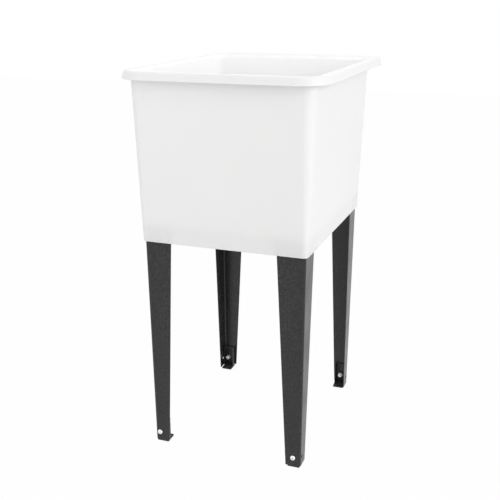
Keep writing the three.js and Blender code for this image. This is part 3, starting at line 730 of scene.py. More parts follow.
class Wardrobe:
    """Every finish of the sink, each built once."""

    def __init__(self, skin: PaintedTubShade) -> None:
        """Build the materials.

        Args:
            skin: The painted shade on the tub's skin, darker outside and under the floor.
        """
        self.tub = MouldedPlastic("white_polypropylene", (0.988, 0.988, 0.986, 1.0), 0.4,
                                  skin=skin).build()
        self.leg = SheetPaint("black_satin_paint", (0.0076, 0.0077, 0.0082, 1.0), 0.28).build()
        self.foot = SheetPaint("black_foot_paint", (0.007, 0.0071, 0.0076, 1.0), 0.42,
                               wear_amount=0.5).build()
        self.zinc = PlatedMetal("bright_zinc", (0.88, 0.885, 0.89, 1.0), 0.42).build()
        self.stainless = PlatedMetal("stainless_steel", (0.66, 0.66, 0.67, 1.0), 0.26,
                                     stroke_scale=900.0, stroke_stretch=14.0).build()
        self.drain = MouldedPlastic("drain_plastic", (0.82, 0.82, 0.79, 1.0), 0.34,
                                    grain_scale=700.0, dust_amount=0.12).build()
        self.gasket = DarkRubber("gasket_rubber", grey(0.018), 0.72).build()
        self.stopper = DarkRubber("stopper_rubber", grey(0.022), 0.66).build()


# ---------------------------------------------------------------------------- mesh tools


def new_object(name: str, mesh: Mesh) -> Object:
    """Put a mesh in the scene, at the origin.

    Args:
        name: The object's name.
        mesh: Its mesh.

    Returns:
        The object.
    """
    obj = bpy.data.objects.new(name, mesh)
    bpy.context.scene.collection.objects.link(obj)
    return obj


def settled(name: str, shape: bmesh.types.BMesh) -> Object:
    """Turn a bmesh into an object.

    Args:
        name: The object's name.
        shape: The bmesh, which is freed.

    Returns:
        The object.
    """
    mesh = bpy.data.meshes.new(name)
    shape.to_mesh(mesh)
    shape.free()
    return new_object(name, mesh)


def from_bmesh(name: str, shape: bmesh.types.BMesh, matrix: Matrix | None = None) -> Object:
    """Turn a finished bmesh into an object with outward faces.

    Args:
        name: The object's name.
        shape: The bmesh, which is freed.
        matrix: Where the shape goes, baked into its vertices.

    Returns:
        The object.
    """
    if matrix is not None:
        bmesh.ops.transform(shape, matrix=matrix, verts=shape.verts)
    bmesh.ops.recalc_face_normals(shape, faces=shape.faces)
    for face in shape.faces:
        face.smooth = True
    return settled(name, shape)


def baked(obj: Object) -> Object:
    """Replace an object by the plain mesh that its modifiers give.

    Args:
        obj: The object, which is deleted.

    Returns:
        A new object of the same name, without modifiers.
    """
    name = obj.name
    depsgraph = bpy.context.evaluated_depsgraph_get()
    mesh = bpy.data.meshes.new_from_object(obj.evaluated_get(depsgraph), depsgraph=depsgraph)
    bpy.data.objects.remove(obj, do_unlink=True)
    mesh.name = name
    return new_object(name, mesh)


def joined(name: str, objects: Sequence[Object]) -> Object:
    """Gather several objects' meshes in one.

    Args:
        name: The new object's name.
        objects: The objects, which are deleted.

    Returns:
        The joined object.
    """
    shape = bmesh.new()
    for obj in objects:
        shape.from_mesh(obj.data)
    for obj in objects:
        bpy.data.objects.remove(obj, do_unlink=True)
    return settled(name, shape)


def welded(obj: Object) -> Object:
    """Weld a solid's doubled points and merge its coplanar faces, so that bevels run whole.

    Args:
        obj: A solid that was joined or cut.

    Returns:
        The same object.
    """
    shape = bmesh.new()
    shape.from_mesh(obj.data)
    bmesh.ops.remove_doubles(shape, verts=shape.verts, dist=WELD_DISTANCE)
    bmesh.ops.dissolve_degenerate(shape, edges=shape.edges, dist=WELD_DISTANCE)
    bmesh.ops.dissolve_limit(shape, angle_limit=FLAT_ANGLE, verts=shape.verts, edges=shape.edges)
    shape.to_mesh(obj.data)
    shape.free()
    return obj


def combine(target: Object, other: Object, operation: str) -> Object:
    """Join or cut a solid with another.

    Args:
        target: The solid that is changed.
        other: The solid that joins or cuts it, which is deleted.
        operation: UNION, DIFFERENCE or INTERSECT.

    Returns:
        The result.
    """
    modifier = target.modifiers.new("combine", "BOOLEAN")
    modifier.operation = operation
    modifier.solver = "EXACT"
    modifier.object = other
    result = baked(target)
    bpy.data.objects.remove(other, do_unlink=True)
    return welded(result)


def softened(obj: Object, width: float, segments: int = 2) -> Object:
    """Round an object's sharp edges and even out its shading.

    Args:
        obj: The object.
        width: How wide the rounding is.
        segments: How many faces the rounding has.

    Returns:
        The finished plain object.
    """
    for face in obj.data.polygons:
        face.use_smooth = True
    bevel = obj.modifiers.new("edges", "BEVEL")
    bevel.width = width
    bevel.segments = segments
    bevel.limit_method = "ANGLE"
    bevel.angle_limit = SMOOTH_ANGLE
    bevel.use_clamp_overlap = True
    bevel.miter_outer = "MITER_ARC"
    return evened(obj)


def evened(obj: Object) -> Object:
    """Weight an object's normals by face area, so that wide flats shade flat, and bake it."""
    obj.modifiers.new("shading", "WEIGHTED_NORMAL").keep_sharp = True
    return baked(obj)


def bridge(shape: bmesh.types.BMesh, low: Sequence[bmesh.types.BMVert],
           high: Sequence[bmesh.types.BMVert]) -> None:
    """Join two closed rows of points by a band of faces, or by a fan where a row is one point.

    Args:
        shape: The bmesh.
        low: The first row.
        high: The second row, of as many points as the first unless one is a single point.
    """
    count = max(len(low), len(high))
    for i in range(count):
        j = (i + 1) % count
        if len(low) == 1:
            shape.faces.new((low[0], high[j], high[i]))
        elif len(high) == 1:
            shape.faces.new((low[i], low[j], high[0]))
        else:
            shape.faces.new((low[i], low[j], high[j], high[i]))


def loft(name: str, rings: Sequence[Ring], closed: bool = False,
         matrix: Matrix | None = None) -> Object:
    """Skin over rings of equal point counts.

    Args:
        name: The object's name.
        rings: The rings, in order.
        closed: Whether the last ring meets the first; otherwise both ends are capped.
        matrix: Where the shape goes.

    Returns:
        The object.
    """
    shape = bmesh.new()
    rows = [[shape.verts.new(point) for point in ring] for ring in rings]
    for low, high in zip(rows, rows[1:]):
        bridge(shape, low, high)
    if closed:
        bridge(shape, rows[-1], rows[0])
    else:
        shape.faces.new(rows[0])
        shape.faces.new(rows[-1])
    return from_bmesh(name, shape, matrix)


def prism(name: str, outline: Pairs, low: float, high: float,
          matrix: Matrix | None = None) -> Object:
    """Extrude an outline of X and Y pairs from a lower to an upper height."""
    rings = [[Vector((x, y, z)) for x, y in outline] for z in (low, high)]
    return loft(name, rings, matrix=matrix)


def lathe(name: str, profile: Pairs, steps: int, closed: bool = False,
          matrix: Matrix | None = None) -> Object:
    """Turn a profile about Z.

    Args:
        name: The object's name.
        profile: Radius and height pairs. An open profile starts and ends on the axis.
        steps: Faces in a full turn.
        closed: Whether the profile closes on itself.
        matrix: Where the shape goes.

    Returns:
        The object.
    """
    shape = bmesh.new()
    rows = []
    for radius, height in profile:
        points = [(0.0, 0.0)] if radius < ON_AXIS else polygon(radius, steps)
        rows.append([shape.verts.new((x, y, height)) for x, y in points])
    for low, high in zip(rows, rows[1:]):
        bridge(shape, low, high)
    if closed:
        bridge(shape, rows[-1], rows[0])
    return from_bmesh(name, shape, matrix)


def polygon(radius: float, count: int, start: float = 0.0) -> Pairs:
    """The corners of a regular polygon, the first at the start angle."""
    turns = [start + FULL_TURN * k / count for k in range(count)]
    return [(radius * math.cos(a), radius * math.sin(a)) for a in turns]


def rectangle(half_x: float, half_y: float) -> Pairs:
    """The corners of a rectangle round the origin."""
    return [(-half_x, -half_y), (half_x, -half_y), (half_x, half_y), (-half_x, half_y)]


def rod_profile(radius: float, low: float, high: float) -> Pairs:
    """The open profile of a plain round rod."""
    return [(0.0, low), (radius, low), (radius, high), (0.0, high)]


def ring_profile(inner: float, outer: float, low: float, high: float) -> Pairs:
    """The closed profile of a flat ring."""
    return [(inner, low), (outer, low), (outer, high), (inner, high)]


def quarter_angles(steps: int) -> list[float]:
    """The angles that cut a quarter turn in equal steps, both ends included."""
    return [QUARTER_TURN * k / steps for k in range(steps + 1)]


def slot_outline(middle: float, half: float, low: float, high: float, steps: int = 14) -> Pairs:
    """A slot with round ends, upright in the plane.

    Args:
        middle: The slot's middle along the first axis.
        half: Half the slot's width.
        low: The lower round end's centre along the second axis.
        high: The upper round end's centre.
        steps: Faces on each round end.

    Returns:
        The outline's points.
    """
    return [
        (middle + half * math.cos(start + HALF_TURN * k / steps),
         centre + half * math.sin(start + HALF_TURN * k / steps))
        for centre, start in ((high, 0.0), (low, HALF_TURN))
        for k in range(steps + 1)
    ]


def angle_outline(width: float, thickness: float, bend: float, steps: int = 8) -> Pairs:
    """The section of an angle with two alike flanges, its fold's outer corner at the origin.

    Args:
        width: Each flange's width.
        thickness: The sheet's thickness.
        bend: The fold's outer radius.
        steps: Faces round the fold.

    Returns:
        The outline's points.
    """
    inner = bend - thickness
    turns = quarter_angles(steps)
    outside = [(bend - bend * math.sin(a), bend - bend * math.cos(a)) for a in turns]
    inside = [(bend - inner * math.sin(a), bend - inner * math.cos(a)) for a in reversed(turns)]
    return [(width, 0.0), *outside, (0.0, width), (thickness, width), *inside, (width, thickness)]


def corner_place(corner: Corner, x: float, y: float) -> Matrix:
    """The matrix from X and Y axes that point inwards from a corner, with its origin at x and y."""
    return Matrix.Translation((x, y, 0.0)) @ Matrix.Diagonal((-corner.side, -corner.end, 1.0, 1.0))


def inward_axis(node: str, corner: Corner) -> Matrix:
    """The matrix that sets a turned piece on a fastener's axis.

    Args:
        node: The fastener's node, whose outer face is the local height 0.
        corner: Its corner.

    Returns:
        A matrix whose Z points into the leg.
    """
    span = Span.of(node)
    turn = Matrix.Rotation(corner.end * QUARTER_TURN, 4, "X")
    return Matrix.Translation((span.middle.x, span.edge(corner)[1], span.middle.z)) @ turn


# ---------------------------------------------------------------------------- geometry recipes


class GeometryRecipe:
    """A Geometry Nodes tree with named sizes, run once to give a plain mesh."""

    def __init__(self, name: str, sizes: dict[str, float | int]) -> None:
        """Make the tree and its inputs.

        Args:
            name: The tree's name.
            sizes: The inputs' names and values; whole numbers become integer sockets.
        """
        self.name = name
        self.sizes = sizes
        self.tree = bpy.data.node_groups.new(name, "GeometryNodeTree")
        face = self.tree.interface
        face.new_socket("Geometry", in_out="OUTPUT", socket_type="NodeSocketGeometry")
        self.sockets = {}
        for label, value in sizes.items():
            kind = "NodeSocketInt" if isinstance(value, int) else "NodeSocketFloat"
            self.sockets[label] = face.new_socket(label, in_out="INPUT", socket_type=kind)
        self.graph = Graph(self.tree)
        self.entry = self.graph.add("NodeGroupInput")

    def size(self, label: str) -> NodeSocket:
        """The socket of a named size."""
        return self.entry.outputs[label]

    def node(self, kind: str, **values: object) -> NodeSocket:
        """Add a node, feed its inputs by name, and give its first output."""
        return self.graph.fill(self.graph.add(kind), **values).outputs[0]

    def scatter(self, points: NodeSocket, instance: NodeSocket,
                turn: NodeSocket | None = None) -> NodeSocket:
        """Put a copy of a mesh on each point, and make the copies real.

        Args:
            points: The points' geometry.
            instance: The mesh that is copied.
            turn: The turn about Z of each copy, or None.

        Returns:
            The realised geometry.
        """
        spread = self.graph.fill(self.graph.add("GeometryNodeInstanceOnPoints"), Points=points,
                                 Instance=instance)
        if turn is not None:
            euler = self.graph.vector(z=turn)
            self.graph.fill(spread, Rotation=self.node("FunctionNodeEulerToRotation", Euler=euler))
        return self.node("GeometryNodeRealizeInstances", Geometry=spread.outputs[0])

    def made(self, geometry: NodeSocket, material: Material,
             matrix: Matrix | None = None) -> Object:
        """Finish the tree and turn its result into a plain object.

        Args:
            geometry: The last geometry.
            material: The finish that the tree sets.
            matrix: Where the result goes.

        Returns:
            The object, with plain smooth faces.
        """
        real = self.node("GeometryNodeRealizeInstances", Geometry=geometry)
        dress = self.node("GeometryNodeSetMaterial", Geometry=real, Material=material)
        self.graph.feed(self.graph.add("NodeGroupOutput").inputs[0], dress)
        obj = new_object(self.name, bpy.data.meshes.new(self.name))
        modifier = obj.modifiers.new("recipe", "NODES")
        modifier.node_group = self.tree
        for label, value in self.sizes.items():
            modifier[self.sockets[label].identifier] = value
        result = baked(obj)
        if matrix is not None:
            result.data.transform(matrix)
        for face in result.data.polygons:
            face.use_smooth = True
        return result


def helical_thread(name: str, radius: float, pitch: float, length: float, ridge: float,
                   material: Material, matrix: Matrix) -> Object:
    """A screw thread's ridge: one round bead along a helix.

    Args:
        name: The tree's and object's name.
        radius: The helix's radius.
        pitch: The height of one turn.
        length: The thread's length along Z, from 0.
        ridge: The bead's radius.
        material: Its finish.
        matrix: Where it goes.

    Returns:
        The thread's object.
    """
    recipe = GeometryRecipe(name, {
        "Radius": radius, "Turns": length / pitch, "Length": length, "Ridge": ridge,
        "Steps": THREAD_STEPS, "Sides": THREAD_SIDES,
    })
    path = recipe.node(
        "GeometryNodeCurveSpiral", Resolution=recipe.size("Steps"), Rotations=recipe.size("Turns"),
        Start_Radius=recipe.size("Radius"), End_Radius=recipe.size("Radius"),
        Height=recipe.size("Length"),
    )
    bead = recipe.node("GeometryNodeCurvePrimitiveCircle", Resolution=recipe.size("Sides"),
                       Radius=recipe.size("Ridge"))
    sweep = recipe.node("GeometryNodeCurveToMesh", Curve=path, Profile_Curve=bead, Fill_Caps=True)
    return recipe.made(sweep, material, matrix)


# ---------------------------------------------------------------------------- pieces


def dressed(obj: Object, material: Material, body: str, slot: Slot, *nodes: str) -> Object:
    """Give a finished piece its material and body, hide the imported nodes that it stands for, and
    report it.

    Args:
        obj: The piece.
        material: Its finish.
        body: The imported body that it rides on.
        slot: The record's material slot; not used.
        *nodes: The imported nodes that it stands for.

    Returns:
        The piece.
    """
    obj.data.materials.clear()
    obj.data.materials.append(material)
    for face in obj.data.polygons:
        face.material_index = 0
    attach(obj, body)
    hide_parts(*nodes)
    log.info("%s: %d faces on %s, for %s", obj.name, len(obj.data.polygons), body, ", ".join(nodes))
    return obj


@dataclass
class Tub:
    """The moulded basin: one skin from the drain's seat round the rim, with ribs and sockets."""

    material: Material
    rim_height: float = 17 * MM
    rim_flare: float = 5.5 * MM
    rim_corner: float = 65 * MM
    rim_edge: float = 4 * MM
    rim_plate: float = 4.5 * MM
    skirt_wall: float = 3.5 * MM
    wall: float = 3.5 * MM
    bottom_corner: float = 11 * MM
    top_corner: float = 24 * MM
    least_corner: float = 1 * MM
    overhang: float = 24.8 * MM
    draft: float = math.radians(1.97)
    skirt_depth: float = 42 * MM
    lip: float = 6 * MM
    fillet: float = 18 * MM
    floor_fall: float = 7 * MM
    floor_thickness: float = 5 * MM
    seat_depth: float = 5 * MM
    hole_radius: float = 25 * MM
    seat_radius: float = 37 * MM
    boss_radius: float = 45 * MM
    edge: float = 1.2 * MM
    eased_share: float = 0.3
    plate_fillet: float = 3 * MM
    underside_fillet: float = 4 * MM
    rib_count: int = 5
    rib_thickness: float = 3 * MM
    rib_recess: float = 4 * MM
    rib_lap: float = 1.8 * MM
    rib_edge: float = 0.5 * MM
    socket_gap: float = 0.3 * MM
    socket_skin: float = 2.6 * MM
    socket_mouth: float = 2 * MM
    socket_lap: float = 1 * MM
    socket_overrun: float = 5 * MM
    socket_edge: float = 0.4 * MM
    corner_steps: int = 12
    side_steps: int = 8
    arc_steps: int = 7
    floor_bands: int = 7
    wall_bands: int = 8
    deck_bands: int = 6
    skirt_bands: int = 3
    plate_bands: int = 4
    body_bands: int = 12
    roof_bands: int = 6

    def __post_init__(self) -> None:
        """Take the overall sizes and the drain's place from the frame."""
        span = Span.of("tub")
        self.top = span.high.z
        self.bottom = span.low.z
        self.rim_width = span.size.x
        self.rim_depth = span.size.y
        self.centre_y = Span.of("drain_body").middle.y
        self.slope = math.tan(self.draft)
        spread = self.slope * (self.top - self.bottom)
        self.bottom_width = self.rim_width - 2 * self.overhang - 2 * spread
        front = -self.rim_depth / 2 + self.overhang + spread
        self.bottom_depth = 2 * (self.centre_y - front)
        self.floor_edge = self.bottom + self.skirt_depth
        self.floor_centre = self.floor_edge - self.floor_fall
        self.roof = self.floor_edge - self.floor_thickness
        self.rim_bottom = self.top - self.rim_height
        self.plate = self.top - self.rim_plate
        self.eased = self.eased_share * self.edge

    def rounded(self, width: float, depth: float, radius: float, z: float,
                centre_y: float) -> Ring:
        """A rounded rectangle as a ring of points.

        Args:
            width: Its size along X.
            depth: Its size along Y.
            radius: Its corners' radius.
            z: Its height.
            centre_y: The Y of its middle.

        Returns:
            The ring, anticlockwise from above.
        """
        half_x = width / 2 - radius
        half_y = depth / 2 - radius
        corners = ((1, 1), (-1, 1), (-1, -1), (1, -1))

        def point(corner: int, angle: float) -> Vector:
            """Find a point of a corner's arc.

            Args:
                corner: Which corner, counted from the right and back one.
                angle: The angle from X.

            Returns:
                The point.
            """
            side, end = corners[corner % 4]
            x = side * half_x + radius * math.cos(angle)
            y = centre_y + end * half_y + radius * math.sin(angle)
            return Vector((x, y, z))

        ring = []
        for corner in range(4):
            turns = [(corner + k / self.corner_steps) for k in range(self.corner_steps + 1)]
            ring.extend(point(corner, turn * QUARTER_TURN) for turn in turns)
            last = ring[-1]
            ahead = point(corner + 1, (corner + 1) * QUARTER_TURN)
            ring.extend(last.lerp(ahead, k / self.side_steps) for k in range(1, self.side_steps))
        return ring

    def body(self, z: float, inset: float, extra: float = 0.0) -> Ring:
        """The leaning body's outline.

        Args:
            z: The height.
            inset: How far inside the outer face.
            extra: Added to the corners' radius.

        Returns:
            The ring.
        """
        rise = z - self.bottom
        share = rise / (self.top - self.bottom)
        outer = self.bottom_corner + (self.top_corner - self.bottom_corner) * share
        radius = max(outer - inset, self.least_corner) + extra
        width = self.bottom_width + 2 * self.slope * rise - 2 * inset
        depth = self.bottom_depth + 2 * self.slope * rise - 2 * inset
        return self.rounded(width, depth, radius, z, self.centre_y)

    def rim(self, z: float, inset: float) -> Ring:
        """The rim's outline, which narrows as it rises.

        Args:
            z: The height.
            inset: How far inside the outer face.

        Returns:
            The ring.
        """
        total = inset + self.rim_flare * (z - self.rim_bottom) / self.rim_height
        radius = max(self.rim_corner - total, self.least_corner)
        return self.rounded(self.rim_width - 2 * total, self.rim_depth - 2 * total, radius, z, 0.0)

    def discs(self, *sizes: tuple[float, float]) -> list[Ring]:
        """Circles round the drain, their points in line with those of the floor's edge.

        Args:
            *sizes: Each circle's radius and height.

        Returns:
            The rings.
        """
        edge = self.body(self.floor_edge, self.wall)
        turns = [math.atan2(point.y - self.centre_y, point.x) for point in edge]
        return [
            [Vector((radius * math.cos(a), self.centre_y + radius * math.sin(a), z)) for a in turns]
            for radius, z in sizes
        ]

    @staticmethod
    def between(first: Ring, second: Ring, steps: int) -> list[Ring]:
        """The rings strictly between two others, where a number of steps divides the space."""
        return [[a.lerp(b, k / steps) for a, b in zip(first, second)] for k in range(1, steps)]

    def arc(self) -> Pairs:
        """One less the cosine and one less the sine along a quarter turn."""
        return [(1 - math.cos(a), 1 - math.sin(a)) for a in quarter_angles(self.arc_steps)]

    def lower_edge(self, outline: Callable[[float, float], Ring], low: float,
                   wall: float) -> list[Ring]:
        """The rings round a wall's rounded lower edge, from its outer to its inner face.

        Args:
            outline: The wall's outline at a height and an inset.
            low: The edge's height.
            wall: The wall's thickness.

        Returns:
            The rings in order.
        """
        arc = self.arc()
        outer = [outline(low + self.edge * reach, self.edge * rise) for reach, rise in arc[::-1]]
        inner = [outline(low + self.edge * rise, wall - self.edge * reach) for rise, reach in arc]
        return outer + inner

    def inside(self) -> list[Ring]:
        """The rings from the drain's hole up the basin to the lip.

        Returns:
            The rings in order.
        """
        seat = self.floor_centre - self.seat_depth
        soft = self.edge / 2
        rings = self.discs(
            (self.hole_radius, seat - soft),
            (self.hole_radius + soft, seat),
            (self.seat_radius - soft, seat),
            (self.seat_radius, seat + soft),
            (self.seat_radius, self.floor_centre - self.edge),
            (self.seat_radius + self.eased, self.floor_centre - self.eased),
            (self.seat_radius + self.edge, self.floor_centre),
        )
        bowl = [
            self.body(self.floor_edge + self.fillet * rise, self.wall + self.fillet * reach,
                      self.fillet * reach)
            for rise, reach in self.arc()
        ]
        wall_top = self.body(self.top - self.lip, self.wall)
        lip = [
            self.body(self.top - self.lip * reach, self.wall - self.lip * rise)
            for rise, reach in self.arc()
        ]
        return [
            *rings,
            *self.between(rings[-1], bowl[0], self.floor_bands),
            *bowl,
            *self.between(bowl[-1], wall_top, self.wall_bands),
            *lip,
        ]

    def over_rim(self, lip: Ring) -> list[Ring]:
        """The rings from the lip over the deck and the rim's edge, round the skirt and under it.

        Args:
            lip: The lip's last ring.

        Returns:
            The rings in order.
        """
        edge = [
            self.rim(self.top - self.rim_edge * reach, self.rim_edge * rise)
            for rise, reach in self.arc()[::-1]
        ]
        foot = self.lower_edge(self.rim, self.rim_bottom, self.skirt_wall)
        return [
            *self.between(lip, edge[0], self.deck_bands),
            *edge,
            *self.between(edge[-1], foot[0], self.skirt_bands),
            *foot,
            self.rim(self.plate - self.edge, self.skirt_wall),
            self.rim(self.plate - self.eased, self.skirt_wall + self.eased),
            self.rim(self.plate, self.skirt_wall + self.edge),
        ]

    def outside(self, under: Ring) -> list[Ring]:
        """The rings from under the rim down the body and up its inside to the drain's boss.

        Args:
            under: The last ring under the rim's plate.

        Returns:
            The rings in order.
        """
        root = [
            self.body(self.plate - self.plate_fillet * rise, -self.plate_fillet * reach)
            for rise, reach in self.arc()
        ]
        foot = self.lower_edge(self.body, self.bottom, self.wall)
        hollow = [
            self.body(self.roof - self.underside_fillet * reach,
                      self.wall + self.underside_fillet * rise)
            for rise, reach in self.arc()
        ]
        low = self.floor_centre - self.floor_thickness
        face = self.floor_centre - self.seat_depth - self.floor_thickness
        soft = self.edge / 2
        boss = self.discs(
            (self.boss_radius + self.edge, low),
            (self.boss_radius, low - self.edge),
            (self.boss_radius, face + soft),
            (self.boss_radius - soft, face),
            (self.hole_radius + soft, face),
            (self.hole_radius, face + soft),
        )
        return [
            *self.between(under, root[0], self.plate_bands),
            *root,
            *self.between(root[-1], foot[0], self.body_bands),
            *foot,
            *hollow,
            *self.between(hollow[-1], boss[0], self.roof_bands),
            *boss,
        ]

    def shell(self) -> Object:
        """Make the whole skin, closed through the drain's hole.

        Returns:
            The shell's object.
        """
        rings = self.inside()
        rings += self.over_rim(rings[-1])
        rings += self.outside(rings[-1])
        return evened(loft("tub_shell", rings, closed=True))

    def deck_ribs(self) -> Object:
        """Make the ribs under the back deck, set out in a row.

        Returns:
            The ribs' object.
        """
        low = self.rim_bottom + self.rib_recess
        high = self.top - self.rim_plate / 2
        body_back = self.centre_y + self.bottom_depth / 2 + self.slope * (low - self.bottom)
        start = body_back - self.wall / 3
        stop = self.rim_depth / 2 - self.rim_flare - self.edge / 2 + self.rib_lap
        reach = self.rim_width - 2 * self.rim_corner
        recipe = GeometryRecipe("deck_ribs", {
            "Count": self.rib_count, "Pitch": reach / (self.rib_count - 1),
            "Thickness": self.rib_thickness, "Length": stop - start, "Height": high - low,
        })
        offset = recipe.graph.vector(x=recipe.size("Pitch"))
        line = recipe.node("GeometryNodeMeshLine", Count=recipe.size("Count"), Offset=offset)
        size = recipe.graph.vector(*map(recipe.size, ("Thickness", "Length", "Height")))
        row = recipe.scatter(line, recipe.node("GeometryNodeMeshCube", Size=size))
        place = Matrix.Translation((-reach / 2, (start + stop) / 2, (low + high) / 2))
        return softened(recipe.made(row, self.material, place), self.rib_edge)

    def socket(self, legs: "Legs", corner: Corner) -> Object:
        """Make the moulded pocket that holds a leg's upper end.

        Args:
            legs: The legs, whose sizes the pocket takes.
            corner: Which leg.

        Returns:
            The pocket's object.
        """
        gap = self.socket_gap
        skin = self.socket_skin
        fold = legs.fold(corner, legs.top)
        depth = legs.thickness + 2 * gap + legs.lean * (legs.top - self.bottom)
        width = legs.width(legs.top) + 2 * gap
        inner, outer = (
            corner_place(corner, fold.x + corner.side * out, fold.y + corner.end * out)
            for out in (gap, gap + skin)
        )
        outline = angle_outline(width + skin + self.wall, depth + skin + self.wall,
                                self.bottom_corner + depth)
        block = prism(f"socket_{corner.tag}", outline, self.bottom + self.socket_mouth,
                      self.roof + self.socket_lap, outer)
        cutter = prism("socket_slot", angle_outline(width, depth, legs.bend + gap),
                       self.bottom - self.socket_overrun, legs.top + gap, inner)
        return softened(combine(block, cutter, "DIFFERENCE"), self.socket_edge)

    def build(self, legs: "Legs") -> Object:
        """Make the tub as one piece.

        Args:
            legs: The legs that its sockets hold.

        Returns:
            The dressed tub.
        """
        shell = self.shell()
        ribs = self.deck_ribs()
        sockets = joined("leg_sockets", [self.socket(legs, corner) for corner in Corner])
        tub = joined("moulded_tub", [shell, ribs, sockets])
        return dressed(tub, self.material, Body.FRAME.value, Slot.TUB, "tub")


@dataclass
class Legs:
    """Four tapered legs of bent sheet steel, with a hole in each flange for the foot's screw."""

    material: Material
    thickness: float = 2 * MM
    bend: float = 6.5 * MM
    lean: float = 4.5 / 498
    taper: float = 28 / 498
    hole_radius: float = 4 * MM
    near_hole: float = 12 * MM
    far_hole: float = 17.5 * MM
    edge: float = 0.35 * MM
    levels: int = 9
    hole_steps: int = 40

    def __post_init__(self) -> None:
        """Take the legs' ends from the frame."""
        span = Span.of("leg_front_left")
        self.top = span.high.z
        self.end = span.low.z
        self.top_width = span.size.x

    def width(self, z: float) -> float:
        """Each flange's width at a height."""
        return self.top_width - self.taper * (self.top - z)

    def fold(self, corner: Corner, z: float) -> Vector:
        """The outer corner of a leg's fold.

        Args:
            corner: Which leg.
            z: The height.

        Returns:
            The point.
        """
        x, y = Span.of(f"leg_{corner.tag}").edge(corner)
        back = self.lean * (self.top - z)
        return Vector((x - corner.side * back, y - corner.end * back, z))

    def leg(self, corner: Corner) -> Object:
        """Make one leg.

        Args:
            corner: Which leg.

        Returns:
            The leg's object, before its finish.
        """
        rings = []
        for k in range(self.levels):
            z = self.end + (self.top - self.end) * k / (self.levels - 1)
            fold = self.fold(corner, z)
            place = corner_place(corner, fold.x, fold.y)
            outline = angle_outline(self.width(z), self.thickness, self.bend)
            rings.append([place @ Vector((u, v, z)) for u, v in outline])
        leg = loft(f"angle_leg_{corner.tag}", rings)
        screw = Span.of(f"foot_screw_{corner.tag}").middle
        fold = self.fold(corner, screw.z)
        side_hole = self.far_hole if corner.side < 0 else self.near_hole
        reach = 3 * self.thickness
        profile = rod_profile(self.hole_radius, -reach, reach)
        for axis, x, y in (("X", screw.x, fold.y), ("Y", fold.x, fold.y - corner.end * side_hole)):
            place = Matrix.Translation((x, y, screw.z)) @ Matrix.Rotation(QUARTER_TURN, 4, axis)
            hole = lathe("hole", profile, self.hole_steps, matrix=place)
            leg = combine(leg, hole, "DIFFERENCE")
        return softened(leg, self.edge)

    def build(self) -> list[Object]:
        """Make and dress the four legs.

        Returns:
            The legs.
        """
        return [
            dressed(self.leg(corner), self.material, Body.FRAME.value, Slot.LEG,
                    f"leg_{corner.tag}")
            for corner in Corner
        ]


@dataclass
class Feet:
    """Four slotted channels with floor pads, which slide in the legs' lower ends."""

    material: Material
    thickness: float = 2 * MM
    inner_bend: float = 1.2 * MM
    lip_depth: float = 14 * MM
    pad_thickness: float = 3 * MM
    pad_corner: float = 3 * MM
    pad_lap: float = 1 * MM
    slot_half: float = 4 * MM
    travel: float = 20 * MM
    edge: float = 0.4 * MM
    bend_steps: int = 6

    def channel(self, width: float) -> Pairs:
        """The channel's section: a web along the first axis and two lips.

        Args:
            width: The channel's overall width.

        Returns:
            The outline's points.
        """
        inner = self.inner_bend
        outer = inner + self.thickness
        turns = quarter_angles(self.bend_steps)
        near = [(outer - outer * math.cos(a), outer - outer * math.sin(a)) for a in turns]
        far = [(width - x, y) for x, y in reversed(near)]
        inside_far = [
            (width - outer + inner * math.cos(a), outer - inner * math.sin(a)) for a in turns
        ]
        inside_near = [(width - x, y) for x, y in reversed(inside_far)]
        depth = self.lip_depth
        return [
            (0.0, depth), *near, *far, (width, depth),
            (width - self.thickness, depth), *inside_far, *inside_near, (self.thickness, depth),
        ]

    def pad(self, width: float, depth: float) -> Pairs:
        """The floor pad's outline, its two inner corners rounded.

        Args:
            width: The pad's size along the web.
            depth: The pad's size away from it.

        Returns:
            The outline's points.
        """
        r = self.pad_corner
        turns = quarter_angles(self.bend_steps)
        far = [(width - r + r * math.cos(a), depth - r + r * math.sin(a)) for a in turns]
        near = [(r - r * math.sin(a), depth - r + r * math.cos(a)) for a in turns]
        return [(0.0, 0.0), (width, 0.0), *far, *near]

    def foot(self, corner: Corner) -> Object:
        """Make one foot.

        Args:
            corner: Which foot.

        Returns:
            The foot's object, before its finish.
        """
        node = f"foot_{corner.tag}"
        span = Span.of(node)
        edge_x, web_y = span.edge(corner)
        place = corner_place(corner, edge_x, web_y)
        screw = Span.of(f"foot_screw_{corner.tag}").middle
        outline = self.channel(span.size.x)
        channel = prism(f"levelling_{node}", outline, self.pad_lap, span.size.z, place)
        pad = prism("pad", self.pad(span.size.x, span.size.y), 0.0, self.pad_thickness, place)
        slot = prism(
            "slot",
            slot_outline(abs(edge_x - screw.x), self.slot_half, screw.z, screw.z + self.travel),
            -2 * self.thickness,
            2 * self.thickness,
            place @ Matrix(((1, 0, 0, 0), (0, 0, 1, 0), (0, 1, 0, 0), (0, 0, 0, 1))),
        )
        foot = combine(combine(channel, pad, "UNION"), slot, "DIFFERENCE")
        return softened(foot, self.edge)

    def build(self) -> list[Object]:
        """Make and dress the four feet.

        Returns:
            The feet.
        """
        return [
            dressed(self.foot(corner), self.material, f"foot_{corner.tag}_body", Slot.FOOT,
                    f"foot_{corner.tag}")
            for corner in Corner
        ]


